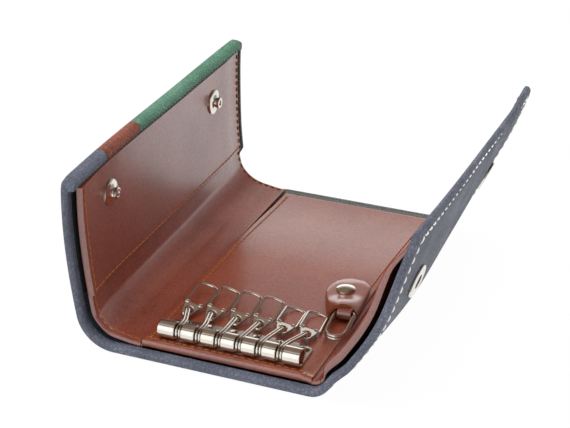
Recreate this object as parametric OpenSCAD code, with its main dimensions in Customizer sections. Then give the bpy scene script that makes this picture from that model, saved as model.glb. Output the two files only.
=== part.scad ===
// A tri-fold leather key case, standing open on its back with both flaps raised.
// X runs across the folds, Y along them and Z up. The origin is the middle of the face that it rests on.

/* [Case] */
// Length of the case along its folds
case_len = 120; // [100:1:140]
// Width of the part of the back that lies flat
back_flat_w = 63; // [58:1:70]
// Thickness of the outer leather
leather_t = 1.5; // [1.2:0.1:1.8]
// Thickness of the stiffening board and of the turned hem around it
board_t = 0.9; // [0.6:0.1:1.2]
// Width of the hem along the two short ends
end_hem_w = 3.5; // [3:0.1:5]
// Thickness of the lining leather
lining_t = 0.9; // [0.7:0.1:1.1]

/* [Left flap] */
// Outer radius of the left bend
left_bend_r = 12; // [11:0.5:13]
// Angle through which the left bend turns
left_bend_angle = 81; // [78:1:86]
// Radius of the slight bow of the left flap
left_wall_r = 200; // [170:5:400]
// Height of the left flap above its bend, along the leather
left_wall_len = 47; // [44:0.5:50]
// Width of the turned band along the left flap's top edge
top_hem_w = 5.5; // [4.5:0.1:7]
// Distance of the join between the near and middle patches from the middle of the case, towards the near end
near_join = 38; // [34:1:42]
// Distance of the join between the middle and far patches from the middle of the case, towards the near end
far_join = 16; // [12:1:20]
// Height of the flap pocket's lower edge above the bend, along the leather
flap_pocket_rise = 5.5; // [4:0.5:9]

/* [Right flap] */
// Outer radius of the right bend
right_bend_r = 10; // [9.5:0.5:11.5]
// Angle through which the right bend turns
right_bend_angle = 58; // [55:1:61]
// Radius of the slight bow of the right flap
right_wall_r = 240; // [200:5:400]
// Height of the right flap above its bend, along the leather
right_wall_len = 56; // [53:0.5:57]

/* [Pockets] */
// Distance of the pocket panel from the left fold
pocket_set_in = 0.5; // [0.5:0.1:4]
// Thickness of the pocket panel
pocket_t = 0.8; // [0.6:0.1:1]
// Thickness of the layer under the pocket panel
under_pocket_t = 0.6; // [0.5:0.1:0.8]
// How far the layer under the pocket panel shows at its right edge
under_pocket_show = 1.9; // [1:0.1:2]

/* [Key bar] */
// Distance between neighbouring slots of the bar
slot_pitch = 6.54; // [6.3:0.02:7]
// Outer radius of the rolled barrel
barrel_r = 2.8; // [2.7:0.05:3]
// Thickness of the sheet metal
sheet_t = 0.7; // [0.6:0.05:0.8]
// Width of one slot in the barrel
slot_w = 2.2; // [2.1:0.05:2.5]
// Distance of the bar's axis from the near end of the case
bar_from_end = 8.3; // [8:0.1:10]
// Distance of the bar's middle from the right end of the flat back
bar_from_fold = 27.6; // [26.5:0.1:29.5]
// Depth of the base plate behind the bar's axis
base_depth = 10.5; // [9.5:0.1:11.5]
// Radius of the rod inside the barrel
rod_r = 1.6; // [1.4:0.05:1.65]

/* [Key hooks] */
// Radius of the hook wire
wire_r = 0.42; // [0.35:0.01:0.45]
// Distance from the bar's axis to the swivel pin
link_len = 14; // [13:0.1:15]
// Width of a hook plate between its upper corners
plate_w = 5.2; // [4.8:0.1:5.3]
// Distance from the swivel pin to the plate's top edge
plate_rise = 3.6; // [3.4:0.1:4]
// Radius of the arched far end of a wire loop
loop_arch_r = 6; // [5.5:0.5:9]
// Length of a wire loop
loop_len = 12.1; // [11:0.1:13]
// Sideways tilt of the hooks, so that each lies over the next
hook_tilt = 12; // [11:0.5:13]
// Slope at which the hooks come down to the leather
hook_slope = 2.6; // [2.2:0.1:2.7]

/* [Tab and ring] */
// Distance of the tab's rivet from the right end of the flat back
tab_from_fold = 7.3; // [6.5:0.1:8.5]
// Distance of the tab's rivet from the near end of the case
tab_from_end = 51.3; // [51:0.1:54]
// Angle at which the tab points away from the folds
tab_angle = 19.5; // [14:0.5:22]
// Angle at which the ring points away from the folds
ring_angle = 4.5; // [3:1:8]
// Thickness of the tab's leather
tab_t = 1.1; // [0.9:0.1:1.3]
// Width of the tab at its rivet
tab_w = 12.4; // [11:0.1:13]
// Distance from the rivet to the middle of the tab's rolled end
roll_from_rivet = 14.7; // [13.5:0.1:15]
// Width of the rolled end
roll_w = 4.6; // [4:0.1:4.7]
// Radius of the rivet's cap
rivet_r = 3.2; // [2.8:0.1:3.5]
// Outer width of the ring, along its straight bar
ring_w = 7; // [6.9:0.1:7.2]
// Outer length of the ring, from its bar to its rounded end
ring_len = 14; // [10:0.1:14.5]
// Thickness of the ring's flat wire
ring_t = 1; // [0.8:0.05:1.05]
// Height of the ring's two turns together
ring_h = 2; // [1.8:0.05:2.2]

/* [Snap fasteners] */
// Distance of each snap fastener from the middle of the case
snap_y = 37; // [32:0.5:42]
// Height of the studs above the left bend, along the leather
stud_rise = 32; // [28:0.5:35]
// Radius of a stud's flange
stud_flange_r = 4.2; // [4:0.1:4.5]
// Radius of a stud's knob
stud_knob_r = 1.95; // [1.8:0.05:2.05]
// Height of a stud
stud_h = 2.7; // [2.5:0.1:3]
// Outer radius of a socket
socket_r = 5.2; // [4.8:0.1:5.6]
// Height of a socket above the leather
socket_h = 1.4; // [1.2:0.1:1.6]

/* [Hidden] */
$fn = 48;

// Clearances and cuts
glue = 0.05;
fit = 0.08;
slack = 0.3;
cut = 1;
station_step = 1;

// Heights of the layers on the back
end_y = case_len / 2;
board_top = leather_t + board_t;
lining_lo = board_top + glue;
lining_top = lining_lo + lining_t;
under_top = lining_top + under_pocket_t;
panel_top = under_top + pocket_t;

// Depths of the layers on the flaps, measured inwards from the outer face
lining_stand_off = 0.55;
flap_lining_lo = board_top + lining_stand_off;
flap_lining_hi = flap_lining_lo + lining_t;
flap_pocket_hi = flap_lining_hi + glue + pocket_t;
fold_depth = 1.2;

// Where the case folds, along each side's outer face from the end of the flat back
left_low_s = -8;
left_up_s = 14.4;
right_low_s = 4.5;
right_up_s = 17;
fold_gap = 0.3;
fold_margin = 2;
pocket_w = back_flat_w + left_low_s - pocket_set_in;

// Each side is [bend radius, bend angle, wall radius, wall length]
LEFT = [left_bend_r, left_bend_angle, left_wall_r, left_wall_len];
RIGHT = [right_bend_r, right_bend_angle, right_wall_r, right_wall_len];

function arc_len(r, a) = r * a * PI / 180;
function turned(r, s) = s / r * 180 / PI;
function bend_len(side) = arc_len(side[0], side[1]);
function top_s(side) = bend_len(side) + side[3];
function heading(side, s) =
    s <= 0 ? 0 : s <= bend_len(side) ? turned(side[0], s) : side[1] + turned(side[2], s - bend_len(side));
function bend_end(side) = [back_flat_w / 2 + side[0] * sin(side[1]), side[0] * (1 - cos(side[1]))];
function outer_pt(side, s) =
    let (h = heading(side, s))
    s <= 0 ? [back_flat_w / 2 + s, 0] :
    s <= bend_len(side) ? [back_flat_w / 2 + side[0] * sin(h), side[0] * (1 - cos(h))] :
    bend_end(side) + side[2] * [sin(h) - sin(side[1]), cos(side[1]) - cos(h)];
function side_pt(side, s, d) = let (h = heading(side, s)) outer_pt(side, s) + d * [-sin(h), cos(h)];
function stations(s0, s1) =
    s1 <= 0 ? [s0, s1] :
    s0 < 0 ? concat([s0], stations(0, s1)) :
    let (n = max(1, ceil((s1 - s0) / station_step))) [for (i = [0 : n]) s0 + (s1 - s0) * i / n];
function bump(s, s0, s1) = s <= s0 || s >= s1 ? 0 : pow(sin(180 * (s - s0) / (s1 - s0)), 2);

// Fold axes, and how far each fold turns
left_low = side_pt(LEFT, left_low_s, lining_top);
left_up = side_pt(LEFT, left_up_s, fold_depth);
right_low = side_pt(RIGHT, right_low_s, lining_top);
right_up = side_pt(RIGHT, right_up_s, fold_depth);
left_tip = side_pt(LEFT, top_s(LEFT), fold_depth);
right_tip = side_pt(RIGHT, top_s(RIGHT), fold_depth);
function slope_of(a, b) = atan2(b[1] - a[1], b[0] - a[0]);
// The shut flap is pressed down past level by this angle, so that its studs sit in the sockets
snap_press = 0.2;
left_low_close = 90 - slope_of(left_low, left_up);
right_low_close = 90 - slope_of(right_low, right_up);
left_up_close = 180 - slope_of(left_up, left_tip) - left_low_close + snap_press;
right_up_close = 180 - slope_of(right_up, right_tip) - right_low_close;
left_up_open = slope_of(left_up, left_tip);
right_up_open = slope_of(right_up, right_tip);
echo(left_low = left_low, left_up = left_up, right_low = right_low, right_up = right_up);
echo(left_low_close = left_low_close, left_up_close = left_up_close, left_up_open = left_up_open);
echo(right_low_close = right_low_close, right_up_close = right_up_close, right_up_open = right_up_open);

// Where the studs come to when the case is shut, which is where the sockets wait
function swing(p, c, a) =
    let (v = p - c) c + [v[0] * cos(a) - v[1] * sin(a), v[0] * sin(a) + v[1] * cos(a)];
function flip(p) = [-p[0], p[1]];
stud_s = bend_len(LEFT) + stud_rise;
stud_seat = side_pt(LEFT, stud_s, flap_pocket_hi);
stud_closed = swing(swing(stud_seat, left_up, left_up_close), left_low, left_low_close);
stud_open = swing(swing(flip(stud_closed), right_low, -right_low_close),
    right_up, -right_up_close);
right_bow_centre = bend_end(RIGHT) + right_wall_r * [-sin(right_bend_angle), cos(right_bend_angle)];
socket_spoke = stud_open - right_bow_centre;
socket_heading = 90 + atan2(socket_spoke[1], socket_spoke[0]);
socket_s = bend_len(RIGHT) + arc_len(right_wall_r, socket_heading - right_bend_angle);

stud_gap = norm(socket_spoke) - right_wall_r;
echo(stud_gap = stud_gap, socket_s = socket_s, socket_at = side_pt(RIGHT, socket_s, 0));
echo(right_up_shut = swing(right_up, right_low, right_low_close));
echo(left_up_shut = swing(left_up, left_low, left_low_close));

// Colours
BLUE = "#565a66";
BROWN = "#7a3a26";
GREEN = "#4a7560";
CORE = "#b49b78";
NICKEL = "#c9c6c0";

// A leather layer of one side, from s0 to s1 along it and from d0 to d1 inwards, bulging by rise
module layer(side, s0, s1, d0, d1, y0, y1, rise = 0) {
    run = stations(s0, s1);
    outer = [for (s = run) side_pt(side, s, d0 + rise * bump(s, s0, s1))];
    inner = [for (i = [len(run) - 1 : -1 : 0]) side_pt(side, run[i], d1 + rise * bump(run[i], s0, s1))];
    translate([0, y1, 0])
        rotate([90, 0, 0])
            linear_extrude(height = y1 - y0)
                difference() {
                    polygon(concat(outer, inner));
                    children();
                }
}

// The room that a fold needs: it closes by shut degrees on its inside and opens by wide degrees outside
module fold_room(side, s, depth, shut, wide) {
    axis = side_pt(side, s, depth);
    h = heading(side, s);
    reach = side[0];
    along = fold_gap / 2 * [cos(h), sin(h)];
    for (way = [[90, shut], [-90, wide]]) {
        half = way[1] / 2 + fold_margin;
        polygon([
            axis - along, axis + along,
            axis + along + reach * [cos(h + way[0] - sign(way[0]) * half), sin(h + way[0] - sign(way[0]) * half)],
            axis - along + reach * [cos(h + way[0] + sign(way[0]) * half), sin(h + way[0] + sign(way[0]) * half)]
        ]);
    }
}

module left_low_room() fold_room(LEFT, left_low_s, lining_top, 0, 0);
module left_up_room() fold_room(LEFT, left_up_s, fold_depth, left_up_close, left_up_open);
module right_low_room() fold_room(RIGHT, right_low_s, lining_top, 0, 0);
module right_up_room() fold_room(RIGHT, right_up_s, fold_depth, right_up_close, right_up_open);
module on_left() mirror([1, 0, 0]) children();

// Outer leather from s0 to s1 with a hem turned in along each free end
module skin(side, s0, s1, y0, y1, near_hem, far_hem)
    difference() {
        union() {
            layer(side, s0, s1, 0, leather_t, y0, y1);
            if (near_hem) layer(side, s0, s1, 0, board_top, y0, y0 + end_hem_w);
            if (far_hem) layer(side, s0, s1, 0, board_top, y1 - end_hem_w, y1);
        }
        translate([0, case_len, 0])
            rotate([90, 0, 0])
                linear_extrude(height = 2 * case_len)
                    children();
    }
near = [-end_y, -near_join];
middle = [-near_join + glue, -far_join];
far = [-far_join + glue, end_y];

// Outer leather of the back, in three patches that meet in seams across the folds
module back_patch(span, near_hem, far_hem) {
    skin(RIGHT, -back_flat_w / 2, right_low_s, span[0], span[1], near_hem, far_hem) right_low_room();
    on_left() skin(LEFT, -back_flat_w / 2, left_low_s, span[0], span[1], near_hem, far_hem) left_low_room();
}
module back_near_patch() color(BLUE) back_patch(near, true, false);
module back_middle_patch() color(BROWN) back_patch(middle, false, false);
module back_far_patch() color(GREEN) back_patch(far, false, true);

// Outer leather of the left side, between its two folds
module left_side_patch(span, near_hem, far_hem)
    on_left()
        skin(LEFT, left_low_s, left_up_s, span[0], span[1], near_hem, far_hem) {
            left_low_room();
            left_up_room();
        }
module left_side_near_patch() color(BLUE) left_side_patch(near, true, false);
module left_side_middle_patch() color(BROWN) left_side_patch(middle, false, false);
module left_side_far_patch() color(GREEN) left_side_patch(far, false, true);

// Outer leather of the left flap, with the band that is turned over its top edge
module left_flap_patch(span, near_hem, far_hem)
    on_left()
        union() {
            skin(LEFT, left_up_s, top_s(LEFT), span[0], span[1], near_hem, far_hem) left_up_room();
            layer(LEFT, top_s(LEFT) - top_hem_w, top_s(LEFT), 0, flap_pocket_hi, span[0], span[1]);
        }
module left_flap_near_patch() color(BLUE) left_flap_patch(near, true, false);
module left_flap_middle_patch() color(BROWN) left_flap_patch(middle, false, false);
module left_flap_far_patch() color(GREEN) left_flap_patch(far, false, true);

// Outer leather of the right side and flap
module right_side_leather()
    color(BLUE)
        skin(RIGHT, right_low_s, right_up_s, -end_y, end_y, true, true) {
            right_low_room();
            right_up_room();
        }
module right_flap_leather()
    color(BLUE)
        difference() {
            union() {
                skin(RIGHT, right_up_s, top_s(RIGHT), -end_y, end_y, true, true) right_up_room();
                layer(RIGHT, top_s(RIGHT) - end_hem_w, top_s(RIGHT), 0, flap_lining_hi, -end_y, end_y);
            }
            at_sockets() through_hole(cap_post_r + fit);
        }

// Stiffening boards, held inside the hems
board_set_in = 3;
module back_board()
    color(CORE)
        translate([-(back_flat_w / 2 + left_low_s - board_set_in), -end_y + end_hem_w + glue, leather_t + glue])
            cube([back_flat_w + left_low_s - board_set_in, case_len - 2 * (end_hem_w + glue), board_t - glue]);
module left_flap_board()
    color(CORE)
        on_left()
            layer(LEFT, left_up_s + board_set_in, top_s(LEFT) - top_hem_w - glue, leather_t + glue, board_top,
                -end_y + end_hem_w + glue, end_y - end_hem_w - glue);
module right_flap_board()
    color(CORE)
        difference() {
            layer(RIGHT, right_up_s + board_set_in, top_s(RIGHT) - end_hem_w - glue, leather_t + glue, board_top,
                -end_y + end_hem_w + glue, end_y - end_hem_w - glue);
            at_sockets() through_hole(cap_post_r + fit);
        }

// Lining, set in from the ends by the width of the hem
lining_y = end_y - end_hem_w;
left_bend_rise = 1.2;
right_bend_rise = 0.8;
module back_lining()
    color(BROWN) {
        layer(RIGHT, -back_flat_w / 2, right_low_s, lining_lo, lining_top, -lining_y, lining_y) right_low_room();
        on_left()
            layer(LEFT, -back_flat_w / 2, left_low_s, lining_lo, lining_top, -lining_y, lining_y) left_low_room();
    }
module left_side_lining()
    color(BROWN)
        on_left()
            layer(LEFT, left_low_s, left_up_s, lining_lo, lining_top, -lining_y, lining_y, left_bend_rise) {
                left_low_room();
                left_up_room();
            }
module right_side_lining()
    color(BROWN)
        layer(RIGHT, right_low_s, right_up_s, lining_lo, lining_top, -lining_y, lining_y, right_bend_rise) {
            right_low_room();
            right_up_room();
        }
module left_flap_lining()
    color(BROWN)
        on_left()
            difference() {
                layer(LEFT, left_up_s, top_s(LEFT) - top_hem_w - glue, flap_lining_lo, flap_lining_hi,
                    -lining_y, lining_y) left_up_room();
                at_studs() through_hole(stud_post_r + fit);
            }
module right_flap_lining()
    color(BROWN)
        layer(RIGHT, right_up_s, top_s(RIGHT) - end_hem_w - glue, flap_lining_lo, flap_lining_hi,
            -lining_y, lining_y) right_up_room();

// Pockets
module left_flap_pocket()
    color(BROWN)
        on_left()
            difference() {
                layer(LEFT, bend_len(LEFT) + flap_pocket_rise, top_s(LEFT) - top_hem_w - glue,
                    flap_lining_hi + glue, flap_pocket_hi, -lining_y, lining_y);
                at_studs() through_hole(stud_post_r + fit);
            }
module back_pocket()
    color(BROWN)
        difference() {
            layer(RIGHT, -pocket_w, 0, under_top, panel_top, -lining_y, lining_y);
            at_base_rivets() through_hole(base_rivet_r + fit);
            at_tab_rivet() through_hole(tab_post_r + fit);
        }
module back_under_pocket()
    color(BROWN)
        difference() {
            layer(RIGHT, -pocket_w, under_pocket_show, lining_top, under_top, -lining_y, lining_y);
            at_base_rivets() through_hole(base_rivet_r + fit);
            at_tab_rivet() through_hole(tab_post_r + fit);
        }
module through_hole(r) translate([0, 0, -through_len]) cylinder(r = r, h = 2 * through_len);
through_len = 4;

// Key bar: one sheet of metal, rolled into a slotted barrel with a flat base behind it
bar_x = back_flat_w / 2 - bar_from_fold;
bar_y = -end_y + bar_from_end;
bar_z = panel_top + barrel_r;
hook_count = 6;
bar_len = (hook_count + 1) * slot_pitch;
function slot_x(i) = bar_x + (i - (hook_count - 1) / 2) * slot_pitch;
base_rivet_r = 1;
base_corner = 2;
base_rivet_inset = 2.6;
module at_base_rivets()
    for (side = [-1, 1])
        translate([bar_x + side * (bar_len / 2 - base_rivet_inset), bar_y + base_depth - base_rivet_inset, panel_top])
            children();
module along_x(x0, x1, r)
    translate([x0, 0, 0]) rotate([0, 90, 0]) cylinder(r = r, h = x1 - x0);
module key_bar()
    color(NICKEL)
        difference() {
            union() {
                translate([0, bar_y, bar_z]) along_x(bar_x - bar_len / 2, bar_x + bar_len / 2, barrel_r);
                translate([bar_x - bar_len / 2, bar_y, panel_top])
                    cube([bar_len, base_depth, sheet_t]);
            }
            translate([0, bar_y, bar_z])
                along_x(bar_x - bar_len / 2 - cut, bar_x + bar_len / 2 + cut, barrel_r - sheet_t);
            for (i = [0 : hook_count - 1])
                translate([slot_x(i) - slot_w / 2, bar_y - barrel_r - cut, panel_top - cut])
                    cube([slot_w, 2 * barrel_r + cut + slack, 2 * (barrel_r + cut)]);
            for (side = [-1, 1])
                translate([bar_x + side * bar_len / 2, bar_y + base_depth, panel_top])
                    rotate([0, 0, 45])
                        cube([base_corner, base_corner, 2 * cut + sheet_t], center = true);
            at_base_rivets() through_hole(base_rivet_r + fit);
        }
rod_end_len = 2;
module bar_rod()
    color(NICKEL)
        translate([0, bar_y, bar_z])
            union() {
                along_x(bar_x - bar_len / 2, bar_x + bar_len / 2, rod_r);
                for (side = [-1, 1])
                    along_x(bar_x + side * (bar_len / 2 - rod_end_len) - rod_end_len / 2,
                        bar_x + side * (bar_len / 2 - rod_end_len) + rod_end_len / 2,
                        barrel_r - sheet_t - glue);
            }
rivet_head_h = 0.7;
rivet_head_r = 1.8;
module bar_rivets()
    color(NICKEL)
        at_base_rivets()
            union() {
                translate([0, 0, sheet_t]) cylinder(r = rivet_head_r, h = rivet_head_h);
                translate([0, 0, lining_top - panel_top])
                    cylinder(r = base_rivet_r, h = sheet_t + panel_top - lining_top + rivet_head_h / 2);
            }

// Key hooks: a wire link hinged on the rod, a plate that turns on the link's pin, and a wire loop.
// Each hook is [sideways lean of the link, turn of the plate against the link], in degrees.
HOOK_LEANS = [-15, -10.5, -4, 0, 4.5, 9.5];
HOOK_TURNS = [14, 8.5, -0.5, -4.7, -9.5, -16];
plate_t = 0.8;
pin_r = 0.9;
pin_head_r = 1.4;
pin_head_h = 0.45;
leg_r = 0.4;
leg_gap = 0.5;
eye_r = rod_r + fit + leg_r;
eye_wall = 0.3;
eye_tube_r = wire_r + fit + eye_wall;
eye_tube_len = 1;
eye_play = 0.1;
function lean(i) = HOOK_LEANS[i];
function turn(i) = HOOK_TURNS[i];

module rod_between(p, q, r) {
    v = q - p;
    translate(p)
        rotate([0, acos(v[2] / norm(v)), atan2(v[1], v[0])])
            cylinder(r = r, h = norm(v));
}
module hook_frame(i)
    translate([slot_x(i), bar_y, bar_z])
        rotate([-hook_slope, 0, 0])
            children();
pin_drop = 0.2;
function pin_at(i) = [link_len * sin(lean(i)), link_len * cos(lean(i)), -pin_drop];
module at_pin(i)
    hook_frame(i)
        translate(pin_at(i))
            rotate([0, hook_tilt, 0])
                children();
module at_plate(i)
    at_pin(i)
        rotate([0, 0, -lean(i) - turn(i)])
            children();

// Each leg leaves its slot square to the rod and then bends towards the pin
bend_drop_share = 0.17;
joint_share = 1.04;
module hook_link(i)
    color(NICKEL)
        union() {
            for (side = [-1, 1])
                hook_frame(i) {
                    knee = [side * leg_gap, barrel_r + slack, (1 - bend_drop_share) * eye_r];
                    difference() {
                        along_x(side * leg_gap - leg_r, side * leg_gap + leg_r, eye_r + leg_r);
                        along_x(side * leg_gap - leg_r - cut, side * leg_gap + leg_r + cut, rod_r + fit);
                    }
                    rod_between([side * leg_gap, 0, eye_r], knee, leg_r);
                    translate(knee) sphere(r = joint_share * leg_r);
                    rod_between(knee, pin_at(i) + [side * leg_gap, -pin_r, plate_t / 2 + fit + leg_r], leg_r);
                }
            at_pin(i) {
                translate([0, 0, plate_t / 2 + fit]) cylinder(r = pin_head_r, h = 2 * pin_head_h);
                translate([0, 0, -plate_t / 2 - fit - pin_head_h])
                    cylinder(r = pin_r, h = plate_t + 2 * fit + 2 * pin_head_h);
                translate([0, 0, -plate_t / 2 - fit - pin_head_h]) cylinder(r = pin_head_r, h = pin_head_h);
            }
        }

// Outline of a hook plate, as shares of its width and rise
PLATE_SHARES = [[-0.5, 1], [0.5, 1], [0.5, 0.55], [0.26, -0.72], [-0.26, -0.72], [-0.5, 0.55]];
module hook_plate(i)
    color(NICKEL)
        at_plate(i)
            difference() {
                union() {
                    translate([0, 0, -plate_t / 2])
                        linear_extrude(height = plate_t)
                            polygon([for (p = PLATE_SHARES) [p[0] * plate_w, p[1] * plate_rise]]);
                    for (side = [-1, 1])
                        translate([side * (plate_w - eye_tube_len) / 2, plate_rise, 0])
                            rotate([0, 90, 0])
                                cylinder(r = eye_tube_r, h = eye_tube_len, center = true);
                }
                cylinder(r = pin_r + fit, h = 2 * cut + plate_t, center = true);
                for (side = [-1, 1])
                    translate([side * plate_w / 2, plate_rise, 0])
                        rotate([0, 90, 0])
                            cylinder(r = wire_r + fit, h = 2 * (eye_tube_len + fit), center = true);
                translate([0, plate_rise, 0])
                    cube([plate_w - 2 * eye_tube_len, 2 * eye_tube_r, 2 * eye_tube_r], center = true);
            }

// Each loop is one wire: a stub in each eye, two legs and an arched end with rounded corners
corner_r = 1.1;
loop_t = 0.9;
loop_half = plate_w / 2 + eye_play + wire_r;
arch_angle = asin((loop_half - corner_r) / (loop_arch_r - corner_r));
arch_y = plate_rise + loop_len - wire_r - loop_arch_r;
shoulder_y = arch_y + (loop_arch_r - corner_r) * cos(arch_angle);
// The outline of the wire's outer side, or of its inner side with a negative offset
module loop_outline(offset) {
    half = loop_half + offset;
    bend_r = corner_r + offset;
    far_r = loop_arch_r + offset;
    translate([-half, plate_rise - wire_r]) square([2 * half, shoulder_y - plate_rise + wire_r]);
    for (side = [-1, 1]) translate([side * (half - bend_r), shoulder_y]) circle(r = bend_r);
    translate([0, arch_y])
        intersection() {
            circle(r = far_r, $fn = 96);
            polygon([[0, 0], [2 * far_r * sin(arch_angle), 2 * far_r * cos(arch_angle)],
                [-2 * far_r * sin(arch_angle), 2 * far_r * cos(arch_angle)]]);
        }
}
module hook_loop(i)
    color(NICKEL)
        at_plate(i)
            union() {
                translate([0, 0, -loop_t / 2])
                    linear_extrude(height = loop_t)
                        difference() {
                            loop_outline(wire_r);
                            loop_outline(-wire_r);
                            translate([-plate_w / 2, plate_rise - cut]) square([plate_w, cut + wire_r]);
                        }
                for (side = [0, 1])
                    mirror([side, 0, 0])
                        translate([plate_w / 2 - eye_tube_len, plate_rise, 0])
                            rotate([0, 90, 0])
                                cylinder(r = wire_r, h = eye_tube_len + eye_play + wire_r);
            }

module hook_link_1() hook_link(0);
module hook_link_2() hook_link(1);
module hook_link_3() hook_link(2);
module hook_link_4() hook_link(3);
module hook_link_5() hook_link(4);
module hook_link_6() hook_link(5);
module hook_plate_1() hook_plate(0);
module hook_plate_2() hook_plate(1);
module hook_plate_3() hook_plate(2);
module hook_plate_4() hook_plate(3);
module hook_plate_5() hook_plate(4);
module hook_plate_6() hook_plate(5);
module hook_loop_1() hook_loop(0);
module hook_loop_2() hook_loop(1);
module hook_loop_3() hook_loop(2);
module hook_loop_4() hook_loop(3);
module hook_loop_5() hook_loop(4);
module hook_loop_6() hook_loop(5);

// Tab: a strap that is folded round the ring and riveted down on the pocket panel
tab_x = back_flat_w / 2 - tab_from_fold;
tab_y = end_y - tab_from_end;
tab_post_r = 1.1;
roll_bore = norm([ring_t, ring_h]) / 2 + fit;
roll_r = roll_bore + tab_t;
// Outline of the tab, as shares of its half width and of the rivet's distance from the roll
TAB_SHARES = [
    [-1.03, -0.08], [-0.96, 0.12], [-0.78, 0.3], [-0.48, 0.46], [-0.05, 0.56],
    [0.5, 0.57], [0.92, 0.47], [1.1, 0.25], [1.02, -0.04], [0.66, -0.83], [-0.62, -0.83]
];
strap_reach = roll_from_rivet / 2;
module at_tab_rivet() translate([tab_x, -tab_y, panel_top]) rotate([0, 0, tab_angle]) children();
module at_roll()
    at_tab_rivet()
        translate([0, -roll_from_rivet, glue + roll_r])
            rotate([0, 0, ring_angle - tab_angle])
                children();
module tab_strap()
    color(BROWN)
        difference() {
            union() {
                at_tab_rivet()
                    translate([0, 0, glue])
                        linear_extrude(height = 2 * tab_t)
                            polygon([for (p = TAB_SHARES) [p[0] * tab_w / 2, p[1] * roll_from_rivet]]);
                at_roll()
                    translate([-roll_w / 2, 0, -roll_r])
                        cube([roll_w, strap_reach, 2 * tab_t]);
                at_roll() along_x(-roll_w / 2, roll_w / 2, roll_r);
            }
            at_roll() along_x(-roll_w / 2 - cut, roll_w / 2 + cut, roll_bore);
            at_tab_rivet() through_hole(tab_post_r + fit);
        }
cap_h = 1.1;
module tab_rivet()
    color(NICKEL)
        at_tab_rivet() {
            translate([0, 0, glue + 2 * tab_t])
                intersection() {
                    translate([0, 0, cap_h - dome_r(rivet_r, cap_h)]) sphere(r = dome_r(rivet_r, cap_h));
                    cylinder(r = rivet_r, h = cap_h);
                }
            translate([0, 0, lining_top - panel_top])
                cylinder(r = tab_post_r, h = panel_top - lining_top + glue + 2 * tab_t + cap_h / 2);
        }
function dome_r(r, h) = (r * r + h * h) / (2 * h);

// The ring lies in the roll by its bar and rests on the pocket panel by its rounded end
ring_corner = 1.2;
ring_groove = 0.12;
ring_slope = asin((roll_r - ring_h / 2 - slack) / ring_len);
module ring_outline(inset) {
    w = ring_w - 2 * inset;
    l = ring_len - 2 * inset;
    c = max(ring_corner - inset, fit);
    translate([0, ring_t / 2 - inset]) {
        translate([0, w / 2 - l]) circle(d = w);
        translate([-w / 2, w / 2 - l]) square([w, l - w / 2 - c]);
        for (side = [-1, 1]) translate([side * (w / 2 - c), -c]) circle(r = c);
        translate([c - w / 2, -c]) square([w - 2 * c, c]);
    }
}
module tab_ring()
    color(NICKEL)
        at_roll()
            rotate([ring_slope, 0, 0])
                difference() {
                    union() {
                        for (turn = [-1, 0])
                            translate([0, 0, turn * ring_h / 2 + ring_groove / 2])
                                linear_extrude(height = (ring_h - 2 * ring_groove) / 2)
                                    ring_outline(0);
                        linear_extrude(height = ring_h / 2, center = true) ring_outline(ring_groove);
                    }
                    linear_extrude(height = 2 * ring_h, center = true) ring_outline(ring_t);
                }

// Snap fasteners: studs on the left flap's pocket, sockets on the right flap's outer face
stud_post_r = 1.4;
stud_flange_t = 0.5;
stud_neck_r = 1.6;
knob_h = 1.1;
back_disc_t = 0.45;
cap_post_r = 2.65;
socket_bore_r = 2.25;
cap_disc_r = 5.4;
module on_face(side, s, d)
    for (end = [-1, 1])
        translate([side_pt(side, s, d)[0], end * snap_y, side_pt(side, s, d)[1]])
            rotate([0, -heading(side, s), 0])
                children();
module at_studs() on_face(LEFT, stud_s, flap_pocket_hi) children();
module at_sockets() on_face(RIGHT, socket_s, 0) children();
module snap_studs()
    color(NICKEL)
        on_left()
            at_studs()
                difference() {
                    union() {
                        translate([0, 0, glue]) cylinder(r = stud_flange_r, h = stud_flange_t);
                        translate([0, 0, glue + stud_flange_t])
                            cylinder(r1 = stud_flange_r - stud_flange_t, r2 = stud_neck_r + stud_flange_t, h = stud_flange_t);
                        cylinder(r = stud_neck_r, h = stud_h);
                        translate([0, 0, stud_h - knob_h]) cylinder(r = stud_knob_r, h = knob_h);
                    }
                    translate([0, 0, -cut]) cylinder(r = stud_post_r, h = cut + stud_h - knob_h / 2);
                }
module stud_backs()
    color(NICKEL)
        on_left()
            at_studs()
                union() {
                    depth = flap_pocket_hi - flap_lining_lo + glue;
                    translate([0, 0, -depth - back_disc_t]) cylinder(r = stud_flange_r, h = back_disc_t);
                    translate([0, 0, -depth - back_disc_t])
                        cylinder(r = stud_post_r - fit, h = depth + back_disc_t + stud_h - knob_h);
                }
module snap_sockets()
    color(NICKEL)
        at_sockets()
            difference() {
                translate([0, 0, -socket_h]) cylinder(r = socket_r, h = socket_h - glue);
                translate([0, 0, -socket_h - cut]) cylinder(r = socket_bore_r, h = socket_h + 2 * cut);
                translate([0, 0, -socket_h - cut + socket_groove])
                    difference() {
                        cylinder(r = socket_r - socket_rim, h = cut);
                        cylinder(r = socket_bore_r + socket_rim, h = cut);
                    }
            }
socket_groove = 0.5;
socket_rim = 0.8;
module socket_caps()
    color(NICKEL)
        at_sockets()
            difference() {
                union() {
                    translate([0, 0, board_top + glue]) cylinder(r = cap_disc_r, h = back_disc_t);
                    cylinder(r = cap_post_r, h = board_top + glue + back_disc_t / 2);
                }
                translate([0, 0, -cut]) cylinder(r = socket_bore_r, h = cut + board_top);
            }

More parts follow.
